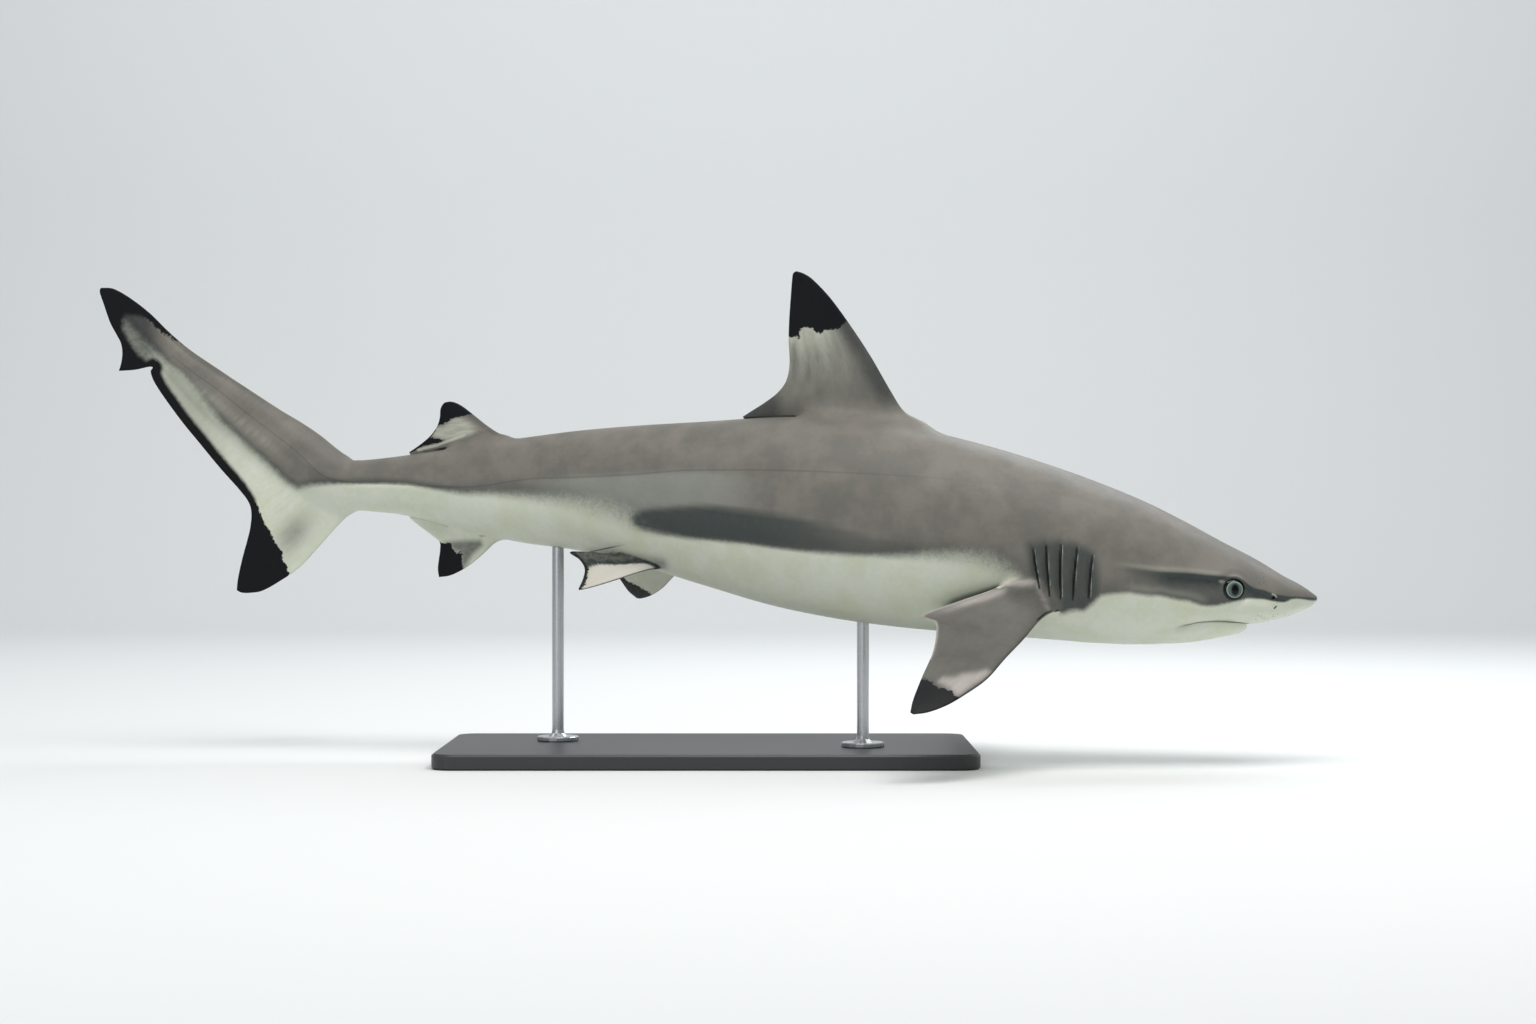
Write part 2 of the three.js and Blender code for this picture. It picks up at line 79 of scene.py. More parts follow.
# ------------------------------------------------------------------ smooth curves
def smooth(rows, easing=None):
    """A smooth curve through rows of numbers; the first number of each row is the key."""
    table = np.array(rows, float)
    ease = easing or (lambda k: k)
    keys = ease(table[:, 0])
    values = table[:, 1:]
    last = len(keys) - 1
    after = np.minimum(np.arange(last + 1) + 1, last)
    before = np.maximum(np.arange(last + 1) - 1, 0)
    slopes = (values[after] - values[before]) / (keys[after] - keys[before])[:, None]

    def at(key):
        k = np.clip(ease(np.atleast_1d(np.asarray(key, float))), keys[0], keys[-1])
        i = np.clip(np.searchsorted(keys, k, side="right") - 1, 0, last - 1)
        h = (keys[i + 1] - keys[i])[:, None]
        t = ((k - keys[i]) / (keys[i + 1] - keys[i]))[:, None]
        a = 2 * t ** 3 - 3 * t ** 2 + 1
        b = t ** 3 - 2 * t ** 2 + t
        c = 3 * t ** 2 - 2 * t ** 3
        d = t ** 3 - t ** 2
        return a * values[i] + b * h * slopes[i] + c * values[i + 1] + d * h * slopes[i + 1]

    return at


def path(points):
    """A smooth curve through points, with the key spread evenly from 0 to 1."""
    n = len(points) - 1
    return smooth([[i / n, *p] for i, p in enumerate(points)])


def step(low, high, x):
    """0 below low, 1 above high and smooth between."""
    t = np.clip((x - low) / (high - low), 0, 1)
    return t * t * (3 - 2 * t)


def hump(x, width, y=0, height=1):
    """1 where x and y are 0, fading out over a width and a height."""
    return np.exp(-((x / width) ** 2 + (y / height) ** 2))


def between(x, a, b, c, d):
    """0 up to a, 1 from b to c and 0 again from d, smooth between."""
    return step(a, b, x) * (1 - step(c, d, x))


# ------------------------------------------------------------------ body stations
# s, back height, belly height, half width, height of the widest level,
# roundness above and below the widest level (2 is an ellipse).
STATIONS = [
    [0, 0, 0, 0, 0, 2.0, 2.2],
    [4, 5, -8, 15, -1, 2.0, 2.4],
    [10, 10, -12.5, 25, -1, 2.0, 2.6],
    [20, 17, -17, 36, -1, 2.0, 2.7],
    [38, 27, -23, 49, 0, 2.0, 2.8],
    [72, 47.5, -29.5, 60, 4, 1.9, 2.9],
    [106, 65, -32.5, 67, 9, 1.85, 3.1],
    [152, 90, -38, 76, 20, 1.85, 2.9],
    [190, 109, -52, 82, 30, 1.9, 2.4],
    [245, 132, -52, 89, 45, 1.9, 2.2],
    [300, 152, -48, 93, 58, 1.95, 2.1],
    [360, 171, -44, 94, 68, 2.0, 2.1],
    [420, 187, -39.5, 93, 75, 2.0, 2.1],
    [480, 200, -34, 91, 82, 2.0, 2.1],
    [545, 208, -25.5, 86, 88, 2.0, 2.1],
    [620, 208.5, -10.5, 77, 95, 2.0, 2.1],
    [703, 204, 13.5, 66, 104, 2.0, 2.1],
    [780, 200, 36, 57, 112, 2.0, 2.1],
    [850, 194.5, 52.5, 48, 119, 2.0, 2.0],
    [920, 186, 62, 39, 123, 2.0, 2.0],
    [990, 176.5, 77, 32, 126, 2.0, 2.0],
    [1060, 166, 94, 25, 129, 2.0, 2.0],
    [1110, 160.5, 99.5, 20, 130, 2.0, 2.0],
    [1127, 160.5, 101, 19, 131, 2.0, 2.0],
    [1150, 171, 108, 17.5, 140, 2.0, 2.0],
    [1200, 204, 137, 14, 173, 2.0, 2.0],
    [1260, 242, 181, 10, 215, 2.0, 2.0],
    [1320, 283, 233, 6.5, 262, 2.0, 2.0],
    [1380, 337, 298, 2.6, 322, 2.0, 2.0],
    [1408, 355, 342, 0.5, 350, 2.0, 2.0],
]
stations = smooth(STATIONS, np.sqrt)


def back_at(s):
    return stations(s)[:, 0]


def belly_at(s):
    return stations(s)[:, 1]


def section(s, z):
    """The body's half width at stations s, the height of its widest level, the reach from
    there to the back or belly on the side of z, and the roundness on that side."""
    top, bottom, half, level, up, down = stations(s).T
    above = z > level
    return half, level, np.where(above, top - level, level - bottom), np.where(above, up, down)


EYE = np.array([101.0, 60.0, 11.0])
EYE_SIZE = np.array([13.6, 8.2, 13.4])
EYE_TURN = math.radians(9)
# The side of the head is the skin further than this from the middle plane.
CHEEK = 30

# The brow line from the snout over the eye to behind the head: s, z, height of the ridge.
BROW = smooth([
    [0, 0, 0], [7, 0.5, 0.2], [12, 1.0, 0.4], [19, 1.8, 0.8], [28, 2.6, 1.2], [38, 3.2, 1.5],
    [50, 5.0, 1.9], [58, 7.0, 2.1], [66, 10.0, 2.2], [79, 13.5, 2.4], [88, 19.5, 2.7],
    [97, 24.2, 3.0], [108, 25.6, 3.2], [128, 27.2, 3.4], [150, 29.6, 3.2], [171, 30.8, 2.6],
    [189, 32.0, 1.8], [212, 35.0, 0.7], [236, 38.0, 0.0],
])

# Top and bottom of each gill slit: s, z, s, z.
GILLS = [
    [255.4, 50, 259, 2],
    [271.6, 59, 275.8, 0],
    [288.7, 62, 288.7, 1],
    [304.2, 61, 300.4, 4],
    [318.2, 58, 310.8, 12],
]

# Height z of the lateral line at each station s.
LATERAL = smooth([
    [235, 96], [262, 110], [330, 124], [420, 136], [570, 144.7], [701, 146.2], [768, 141.6],
    [837, 138.6], [887, 137.6], [918, 134.4], [957, 128.5], [1000, 128], [1060, 131],
    [1127, 134], [1158, 143], [1189, 170.7], [1224, 197], [1256, 221.1], [1285, 243.9],
    [1316, 265.8], [1350, 292], [1420, 345],
])


DENSE_END = 370
TAIL_START = 1170
# The skin's rings are close at the head and gills and wide on the trunk: end and gap.
SPANS = [(8, 0.9), (30, 1.5), (76, 1.8), (128, 1.35), (240, 2.3), (336, 1.6),
         (DENSE_END, 2.8), (1095, 5.4), (TAIL_START, 2.8), (1408, 4.6)]


def spread_rows():
    rows = [0.12, 0.45]
    for end, gap in SPANS:
        while rows[-1] + gap / FINE <= end:
            rows.append(rows[-1] + gap / FINE)
    return np.array(rows)


def ring_curve(row, s, count):
    """Half of one cross-section, from the back's middle line down to the belly's, with
    more points along the brow line of the head."""
    top, bottom, half, level, up, down = row
    angle = np.linspace(math.pi / 2, -math.pi / 2, 721)
    c, d = np.cos(angle), np.sin(angle)
    n = np.where(d > 0, up, down)
    reach = np.where(d > 0, top - level, level - bottom)
    y = half * np.abs(c) ** (2 / n)
    z = level + reach * np.sign(d) * np.abs(d) ** (2 / n)
    brow = float(BROW(s)[0, 0])
    crowd = 1.9 * float(between(s, 8, 30, 200, 250))
    weight = 1 + crowd * hump(z - brow + 3, 9) * (y > 0.3 * half)
    length = np.hypot(np.diff(y), np.diff(z)) * (weight[1:] + weight[:-1]) / 2
    length = np.concatenate([[0], np.cumsum(length)])
    want = np.linspace(0, length[-1], count)
    return np.interp(want, length, y), np.interp(want, length, z)


def slit_field(s, z, gill):
    """Distance behind a gill slit's line, and how far along it: 0 at the top, 1 below."""
    s0, z0, s1, z1 = gill
    t = (z0 - z) / (z0 - z1)
    line = s0 + (s1 - s0) * t + 0.8 * np.sin(np.pi * np.clip(t, 0, 1))
    return s - line, t


def pelvic_crease(s, z):
    """Height above the crease over the root of the pelvic fin."""
    return z - 55.8 + 0.18 * (s - 803)


def surface_lift(s, y, z):
    """Height of the skin's small forms above the plain body, in millimetres."""
    side = np.abs(y)
    # brow: a full upper side that breaks over a crisp edge into a hollow
    line, ridge = BROW(s).T
    dz = z - line
    below = 1 - 1.75 * step(0, 5.5, -dz) + 0.75 * step(9, 26, -dz)
    lift = ridge * np.where(dz > 0, hump(dz, 11), below) * (side > 6)
    # lids: a rim round the eye and a soft hollow outside it
    r = np.hypot(s - EYE[0], z - EYE[2])
    lift += 1.7 * hump(r - 12.6, 1.7) * (side > CHEEK)
    lift -= 0.8 * hump(r - 17.5, 2.6) * (side > CHEEK)
    # flap between the two openings of the nostril
    lift += 1.5 * hump(s - 54, 3.2, z + 3.5, 3.4) * (side > CHEEK)
    # gill flaps: each one swells towards its slit and steps down behind it
    for gill in GILLS:
        d, t = slit_field(s, z, gill)
        along = np.sin(np.pi * np.clip((t + 0.1) / 1.2, 0, 1)) ** 0.6
        past = step(-0.5, 1.3, d)
        form = 1.9 * hump(d + 2.2, 4.2) * (1 - past) - 2.5 * hump(d - 1.4, 3.2) * past
        lift += along * form * (side > CHEEK)
    # pad of muscle over the root of the pectoral fin
    lift += 5.0 * hump(s - 330, 19, z - 15.5 - 0.05 * (s - 330), 6.5) * (side > 40)
    # crease over the root of the pelvic fin
    crease = pelvic_crease(s, z)
    on = between(s, 762, 784, 836, 850) * (side > 12)
    lift += on * 1.3 * (hump(crease - 3.4, 3) - hump(crease, 2.2))
    # lateral line: a shallow groove
    groove = hump(z - LATERAL(s)[:, 0], 1.6) * (side > 8)
    lift -= 0.35 * groove * between(s, 236, 262, 1100, 1127)
    # pits on the tail stalk, above and below, just ahead of the tail fin
    lift -= 3.0 * hump(s - 1124, 4.5, side, 9) * (z > 130)
    lift -= 1.6 * hump(s - 1118, 4.0, side, 7) * (z < 130)
    # low keel of muscle along the tail stalk
    keel = hump(z - stations(s)[:, 3], 8) * (side > 4)
    return lift + 1.2 * between(s, 930, 1010, 1180, 1260) * keel


def body_mesh():
    """The head, trunk and tail stalk as one closed skin of rings. The rings of the head
    have twice as many points as those of the trunk, and those twice as many as the tail's."""
    rows = spread_rows()
    half_count = 2 * int(52 * FINE) + 1
    around = 2 * (half_count - 1)
    data = stations(rows)
    grid = np.zeros((len(rows), around, 3))
    grid[:, :, 0] = rows[:, None]
    for i, row in enumerate(data):
        y, z = ring_curve(row, rows[i], half_count)
        grid[i, :, 1] = np.concatenate([-y, y[-2:0:-1]])
        grid[i, :, 2] = np.concatenate([z, z[-2:0:-1]])
    along = np.gradient(grid, rows, axis=0)
    across = np.roll(grid, -1, axis=1) - np.roll(grid, 1, axis=1)
    normal = np.cross(along, across)
    normal /= np.maximum(np.linalg.norm(normal, axis=2, keepdims=True), 1e-9)
    centre = grid.mean(axis=1, keepdims=True)
    normal *= np.sign(np.sum(normal * (grid - centre), axis=2).mean())
    flat = grid.reshape(-1, 3)
    lifted = flat + normal.reshape(-1, 3) * surface_lift(*flat.T)[:, None]
    verts, rings = [], []
    for s, ring in zip(rows, lifted.reshape(grid.shape)):
        kept = ring[::1 + (s > DENSE_END) + 2 * (s > TAIL_START)]
        rings.append((len(verts), len(kept)))
        verts.extend(kept.tolist())
    faces = []
    for (a, n), (b, m) in zip(rings[:-1], rings[1:]):
        for j in range(m):
            k = (j + 1) % m
            if n == m:
                faces.append((a + j, a + k, b + k, b + j))
            else:
                middle, end = a + 2 * j + 1, a + (2 * j + 2) % n
                faces += [(a + 2 * j, middle, b + j), (middle, b + k, b + j), (middle, end, b + k)]
    tip = len(verts)
    verts += [(0.0, 0.0, 0.0), (rows[-1] + 0.8, 0.0, data[-1][3])]
    last, size = rings[-1]
    faces += [(tip, (j + 1) % around, j) for j in range(around)]
    faces += [(tip + 1, last + j, last + (j + 1) % size) for j in range(size)]
    return outward(np.array(verts), faces)


# ------------------------------------------------------------------ lower jaw
JAW_FRONT = 76.8
JAW_HALF = 57.0
JAW_CORNER = 117.0
JAW_DEPTH = smooth([
    [76.8, -33], [79.4, -36.8], [85.2, -39.8], [97, -42.9], [112, -45.8], [126, -48.5],
    [141, -50.6], [154, -51.7], [165, -52.1], [176, -52], [184, -51.2], [190, -49.8],
    [205, -44.5], [216, -38],
])
JAW_RIM = smooth([
    [75, -31], [84, -28.5], [106, -26.5], [122, -26], [140, -27.5], [156, -32], [200, -40],
])
JAW_INSIDE = 9  # how far the jaw reaches up into the head, above its rim


def jaw_mesh():
    front = np.linspace(0, 1, int(26 * FINE)) ** 2 * (JAW_CORNER - JAW_FRONT - 2)
    rows = np.concatenate([front + JAW_FRONT + 0.2, np.linspace(118, 214, int(38 * FINE))])
    count = int(60 * FINE)
    a = 2 * np.pi * np.arange(count) / count
    c, d = np.cos(a), np.sin(a)
    n = np.where(d > 0, 2.0, 2.3)
    across = np.sign(c) * np.abs(c) ** (2 / n)
    upward = np.sign(d) * np.abs(d) ** (2 / n)
    rings = []
    for s in rows:
        u = min((s - JAW_FRONT) / (JAW_CORNER - JAW_FRONT), 1)
        half = JAW_HALF * math.sqrt(max(1 - (1 - u) ** 2, 0.0004))
        half *= 1 - 0.22 * step(150, 214, s)
        rim = JAW_RIM(s)[0, 0]
        reach = np.where(d > 0, JAW_INSIDE, rim - JAW_DEPTH(s)[0, 0])
        rings.append(np.stack([np.full(count, s), half * across, rim + reach * upward], 1))
    return loft(rings)


def loft(rings):
    """Joins rings of equal length into a closed skin with a fan at each end."""
    n, last = len(rings[0]), len(rings) - 1
    faces = []
    for i in range(last):
        for j in range(n):
            k = (j + 1) % n
            faces.append((i * n + j, i * n + k, (i + 1) * n + k, (i + 1) * n + j))
    centre = n * (last + 1)
    for j in range(n):
        faces.append((centre, (j + 1) % n, j))
    for j in range(n):
        faces.append((centre + 1, last * n + j, last * n + (j + 1) % n))
    ends = [np.mean(rings[0], axis=0), np.mean(rings[-1], axis=0)]
    return outward(np.concatenate([*rings, ends]), faces)


def outward(verts, faces):
    """Turns the faces so that the closed mesh's normals point out."""
    total = 0.0
    for f in faces:
        a = verts[f[0]]
        for i in range(1, len(f) - 1):
            total += float(np.dot(a, np.cross(verts[f[i]], verts[f[i + 1]])))
    if total < 0:
        faces = [tuple(reversed(f)) for f in faces]
    return verts, faces


# ------------------------------------------------------------------ fins in the middle plane
def lengths(line):
    """Length along a line at each of its points."""
    return np.concatenate([[0], np.cumsum(np.linalg.norm(np.diff(line, axis=0), axis=1))])


def spaced(line, want):
    """Points of a line at the wanted lengths along it."""
    length = lengths(line)
    return np.stack([np.interp(want, length, row) for row in line.T], 1)


def sample(points, spacing):
    """Points along a smooth curve, about spacing apart, with both ends."""
    fine = path(points)(np.linspace(0, 1, 400))
    whole = lengths(fine)[-1]
    return spaced(fine, np.linspace(0, whole, max(round(whole / spacing), 1) + 1))


def polyline_distance(points, line):
    """Distance from each point to an open line of straight pieces, flat or in space."""
    line = np.asarray(line, float)
    best = np.full(len(points), 1e9)
    for a, b in zip(line[:-1], line[1:]):
        ab = b - a
        t = np.clip(((points - a) @ ab) / max(float(ab @ ab), 1e-9), 0, 1)
        best = np.minimum(best, np.linalg.norm(points - a - t[:, None] * ab, axis=1))
    return best


def inside(points, polygon):
    """True for the points inside a closed polygon."""
    x, y = points[:, 0], points[:, 1]
    odd = np.zeros(len(points), bool)
    for a, b in zip(polygon, np.roll(polygon, -1, axis=0)):
        crosses = (a[1] > y) != (b[1] > y)
        if abs(b[1] - a[1]) < 1e-12:
            continue
        odd ^= crosses & (x < (b[0] - a[0]) * (y - a[1]) / (b[1] - a[1]) + a[0])
    return odd


def plate(lead, rear, thickness, spacing, marks):
    """A closed fin in the middle plane. lead and rear are (n, 2) lines that together make
    its outline; thickness(points, lead distance, rear distance) is its half thickness.
    marks are lines that get points of their own, so that a marking ends crisply there."""
    outline = np.concatenate([lead[:-1], rear[:-1]])
    closed = np.concatenate([outline, outline[:1]])

    def within(points, least):
        return points[inside(points, outline) & (polyline_distance(points, closed) > least)]

    rings = []
    for line, offsets in ((lead, (0.45, 1.3, 2.8)), (rear, (0.5, 1.8))):
        tangent = np.gradient(line, axis=0)
        normal = np.stack([-tangent[:, 1], tangent[:, 0]], 1)
        normal /= np.maximum(np.linalg.norm(normal, axis=1, keepdims=True), 1e-9)
        if inside(line + normal * 0.3, outline).mean() < 0.5:
            normal = -normal
        rings += [line[1:-1] + normal[1:-1] * offset for offset in offsets]
    low, high = outline.min(0), outline.max(0)
    grid = np.array([(x + (i % 2) * spacing / 2, z)
                     for i, z in enumerate(np.arange(low[1], high[1], spacing * 0.87))
                     for x in np.arange(low[0], high[0], spacing)])
    grid = within(grid, 3.6)
    lines = []
    for mark in marks:
        mark = np.array(mark, float)
        grid = grid[polyline_distance(grid, mark) > 1.3]
        crisp = spaced(mark, np.arange(0.4, lengths(mark)[-1], 1.8 / FINE))
        lines.append(within(crisp, 3.4))
    points = np.concatenate([outline, within(np.concatenate(rings), 0.35), grid, *lines])
    border = list(range(len(outline)))
    done = geometry.delaunay_2d_cdt([Vector(p) for p in points], [], [border], 1, 1e-5)
    flat = np.array([tuple(v) for v in done[0]])
    rim = polyline_distance(flat, closed) < 1e-4
    half = thickness(flat, polyline_distance(flat, lead), polyline_distance(flat, rear))
    half[rim] = 0
    right = np.stack([flat[:, 0], -half, flat[:, 1]], 1)
    left = np.stack([flat[:, 0], half, flat[:, 1]], 1)
    other = np.where(rim, np.arange(len(flat)), np.cumsum(~rim) - 1 + len(flat))
    faces = [tuple(f) for f in done[2]]
    faces += [tuple(int(other[i]) for i in reversed(f)) for f in faces]
    return outward(np.concatenate([right, left[~rim]]), faces)


def chord(d_lead, d_rear):
    """Place across a fin, from 0 at its leading edge to 1 at its rear edge."""
    return d_lead / np.maximum(d_lead + d_rear, 1e-6)


def foil(c):
    """Shape of a fin's section at the place c across it: 1 at its thickest."""
    return np.minimum(2.32 * np.sqrt(c) * (1 - c) ** 0.9 * (1 - 0.35 * c), 1.0)


def rim_edge(d_lead, d_rear):
    """Half thickness of a fin's thin edges."""
    return 0.5 * np.sqrt(np.clip(np.minimum(d_lead, d_rear) / 0.5, 0, 1))


def resting_edge(start, end, height, sink):
    """Line from a fin's free tip forward along the body, sunk a little under the skin."""
    s = np.linspace(start, end, 12)
    return np.stack([s, height(s) - sink], 1)


D1_LEAD = [[436, 166], [443, 194], [454, 204], [466, 213], [482, 239], [505, 279.5],
           [528, 315], [551, 347], [571, 368.5], [582, 376], [590, 378.7]]
D1_TRAIL = [[590, 378.7], [594, 376.5], [595.3, 369], [596.5, 354], [598.7, 322],
            [599.3, 297], [598.3, 272], [602, 251.5], [612, 237.5], [627, 226],
            [641, 217.2], [653, 209.6]]
D2_LEAD = [[926, 168], [933, 186], [946, 192.5], [961, 202.5], [978, 216], [990, 225],
           [999, 229.5], [1005, 230.6]]
D2_TRAIL = [[1005, 230.6], [1012, 229], [1016.5, 222], [1017.5, 211], [1021, 200.5],
            [1029, 189.5], [1041, 179.3], [1055, 169.8]]
ANAL_LEAD = [[938, 84], [944, 69], [954, 57.5], [968, 44.5], [980, 35], [993, 27],
             [1006, 21.5], [1018.5, 19.8]]
ANAL_TRAIL = [[1018.5, 19.8], [1019.8, 30], [1018.5, 42], [1017, 53], [1018, 62.5],
              [1029, 71.5], [1042, 81], [1055, 91.5]]


def small_plate(lead, trail, rest, root, gap, thick, free, spacing, marks):
    """A fin with a free rear tip: rest is its lower edge along the body and root the
    hidden edge inside it. thick is the root's extra thickness, the heights of root and tip,
    a power and the tip's thickness. free is where the section thins to the free tip."""
    extra, low, high, power, least = thick
    lead = sample(lead, gap / FINE)
    root = sample(root, 3 / FINE)
    rear = np.concatenate([sample(trail, gap / FINE), resting_edge(*rest), root, lead[:1]])
    apart = np.linalg.norm(np.diff(rear, axis=0), axis=1) > 0.2
    rear = np.concatenate([rear[:1], rear[1:][apart]])

    def thickness(p, d_lead, d_rear):
        full = extra * (1 - np.clip((p[:, 1] - low) / (high - low), 0, 1)) ** power + least
        loose = step(free[0], free[1], p[:, 0])
        return full / 2 * foil(chord(d_lead, d_rear)) * (1 - 0.5 * loose) + rim_edge(d_lead, d_rear)

    return plate(lead, rear, thickness, spacing / FINE, marks)


def median_fins():
    """The first and second dorsal fins and the anal fin."""
    return {
        "dorsal": small_plate(
            D1_LEAD, D1_TRAIL, (651, 592, back_at, 0.9),
            [[589, 205], [583, 190], [570, 176], [520, 164], [440, 162]],
            2.6, (16, 205, 375, 1.1, 2.2), (588, 625), 3.2, [BLACK_DORSAL]),
        "second": small_plate(
            D2_LEAD, D2_TRAIL, (1053, 1006, back_at, 0.9), [[1003, 166], [990, 158], [930, 156]],
            2.0, (9.5, 180, 230, 1, 1.8), (1002, 1030), 2.4,
            [BLACK_SECOND, BLACK_SECOND_REAR, SECOND_STREAK]),
        "anal": small_plate(
            ANAL_LEAD, ANAL_TRAIL, (1053, 1006, belly_at, -0.9),
            [[1003, 94], [990, 102], [942, 98]],
            2.0, (9.5, 75, 20, 1, 1.8), (1002, 1030), 2.6, [BLACK_ANAL]),
    }


def slot_cutter(start, end, height, lean, tall, side):
    """A thin wedge that lifts one side of a fin's free rear tip off the body."""
    rings = []
    for t in np.linspace(0, 1, 14):
        s = start + (end - start) * t
        z = height(s)[0] + lean * 0.75
        half = 0.15 + tall * math.sin(math.pi * min(t * 0.8 + 0.2, 1))
        rings.append([(s, side * 0.5, z - half), (s, side * 12, z - half),
                      (s, side * 12, z + half), (s, side * 0.5, z + half)])
    return loft(rings)


TAIL_LEAD = [
    [1116, 150], [1127, 159.5], [1143, 172.5], [1164, 190.5], [1188, 206.5], [1213, 221],
    [1250, 245.5], [1286, 269.5], [1322, 294], [1347, 315], [1371, 338.5], [1395, 357],
    [1415, 368], [1430, 369.2],
]
TAIL_REAR = [
    [[1430, 369.2], [1431.6, 364], [1426, 347], [1419, 327], [1411, 312], [1406, 302],
     [1404.3, 291], [1405.5, 279], [1408.5, 268.6]],
    [[1408.5, 268.6], [1389, 270], [1372, 273.6], [1367, 272.5], [1370, 267], [1362, 249],
     [1335, 211], [1310, 180.3], [1286, 151.3], [1262, 124.5], [1251, 109.5], [1247.8, 97],
     [1249, 80], [1253, 63], [1259, 41], [1264, 18], [1265.6, 3.6]],
    [[1265.6, 3.6], [1260, 0.6], [1249, 0.3], [1234, 3], [1213, 14.5], [1188, 32],
     [1164, 57.5], [1146, 77.5], [1126, 97.5], [1116, 108]],
    [[1116, 108], [1116, 150]],
]


def tail_fin():
    gap = 2.6 / FINE
    rear = [sample(edge, gap)[min(i, 1):] for i, edge in enumerate(TAIL_REAR)]

    def thickness(p, d_lead, d_rear):
        web = 4.6 - 3.0 * np.clip(np.hypot(p[:, 0] - 1170, p[:, 1] - 110) / 150, 0, 1)
        soft = np.sqrt(np.clip(np.minimum(d_lead, d_rear) / 16, 0, 1))
        return web / 2 * soft + rim_edge(d_lead, d_rear)

    return plate(sample(TAIL_LEAD, gap), np.concatenate(rear), thickness, 3.2 / FINE,
                 [BLACK_TAIL_TIP, BLACK_LOWER_LOBE])


# ------------------------------------------------------------------ paired fins
# Outlines as station, distance from the middle plane and height; then thickness and edge.
PECTORAL = {
    "lead": [[292, 50, 6], [301, 80, -12], [314, 101, -25], [327, 126, -41], [345, 157, -61],
             [362, 189, -82], [380, 217, -96], [397, 240, -107], [414, 255, -114],
             [427, 262, -116]],
    "rear": [[346, 50, 34], [352, 84, 16], [396, 99, -2], [434, 114, -17], [420, 126, -22],
             [416, 142, -33], [417, 172, -55], [424, 212, -80], [429, 245, -101],
             [430.5, 260, -114]],
    "thick": [[24, 2], [22, 1.8], [18, 1.4], [14, 1.2], [11, 1.1], [8, 1.1], [6, 1], [4, 1],
              [2.4, 0.9], [0.8, 0.8]],
}

PELVIC = {
    "lead": [[730, 18, 58], [741, 32, 35], [752, 43, 31], [766, 56, 26], [781, 70, 20],
             [797, 85, 14], [809, 97, 10], [816, 104, 8.5]],
    "rear": [[792, 18, 66], [800, 36, 50], [822, 44, 51], [843, 52, 51], [829, 62, 43],
             [818, 77, 33], [815, 92, 22], [817, 103.5, 10]],
    "thick": [[9, 1.6], [8, 1.4], [6, 1.2], [5, 1.1], [4, 1], [3, 1], [2, 0.9], [0.8, 0.8]],
}

# The left pelvic fin hangs lower and is swung a little forward.
PELVIC_LEFT = {
    "lead": [[722, 18, 54], [734, 34, 35], [746, 48, 23], [756, 59, 15], [768, 72, 6],
             [781, 84, -1], [792, 93, -5], [802, 99, -7.4]],
    "rear": [[790, 18, 64], [798, 36, 48], [820, 44, 47], [841, 52, 46], [829, 65, 33],
             [821, 80, 16], [815, 93, 2], [807, 101, -7]],
    "thick": PELVIC["thick"],
}


def fin_frame(fin, side, t):
    """Leading edge, rear edge, thicknesses and upward direction at the shares t of a
    paired fin's length."""
    mirror = np.array([1, side, 1])
    lead = path(fin["lead"])(t) * mirror
    rear = path(fin["rear"])(t) * mirror
    thick = path(fin["thick"])(t)
    up = np.cross(rear - lead, np.gradient(lead, axis=0))
    up /= np.linalg.norm(up, axis=1, keepdims=True)
    up *= np.sign(up[:, 2:3].mean())
    return lead, rear, thick, up


def paired_fin(fin, side, rows, cols):
    rows, cols = int(rows * FINE), int(cols * FINE)
    lead, rear, thick, up = fin_frame(fin, side, 1 - np.linspace(1, 0, rows) ** 1.35)
    k = (np.arange(cols + 1) / cols) ** 1.6
    rings = []
    for i in range(rows):
        edge = thick[i, 1] / 2 * np.minimum(1, k / 0.004)
        half = (thick[i, 0] / 2 * foil(k) + edge)[:, None]
        middle = lead[i] + (rear[i] - lead[i]) * k[:, None]
        rings.append(np.concatenate([middle + up[i] * half, (middle - up[i] * half)[:0:-1]]))
    return loft(rings)


# ------------------------------------------------------------------ mesh helpers
def add_object(name, data):
    made = bpy.data.objects.new(name, data)
    bpy.context.scene.collection.objects.link(made)
    return made


def new_object(name, verts, faces):
    mesh = bpy.data.meshes.new(name)
    mesh.from_pydata(np.asarray(verts, float).tolist(), [], [tuple(map(int, f)) for f in faces])
    mesh.validate()
    return add_object(name, mesh)


def combine(target, other, operation):
    """Applies a boolean with another closed mesh and removes that mesh."""
    tool = target.modifiers.new("cut", "BOOLEAN")
    tool.operation = operation
    tool.solver = "MANIFOLD"
    tool.object = other
    depsgraph = bpy.context.evaluated_depsgraph_get()
    result = bpy.data.meshes.new_from_object(target.evaluated_get(depsgraph))
    target.modifiers.clear()
    target.data = result
    bpy.data.objects.remove(other)


def coords(mesh):
    out = np.zeros(len(mesh.vertices) * 3, np.float32)
    mesh.vertices.foreach_get("co", out)
    return out.reshape(-1, 3).astype(float)


def tree_of(shape):
    verts, faces = shape
    return BVHTree.FromPolygons(verts.tolist(), [tuple(map(int, f)) for f in faces])


def signed(tree, points, limit):
    """Signed distance and direction from a closed mesh, for points within a limit."""
    dist = np.full(len(points), 1e3)
    away = np.zeros((len(points), 3))
    for i, p in enumerate(points):
        hit, normal, _, d = tree.find_nearest(Vector(p), limit)
        if hit is None:
            continue
        off = Vector(p) - hit
        sign = 1.0 if off.dot(normal) >= 0 else -1.0
        dist[i] = sign * d
        away[i] = (off * (sign / d)) if d > 1e-3 else normal
    return dist, away


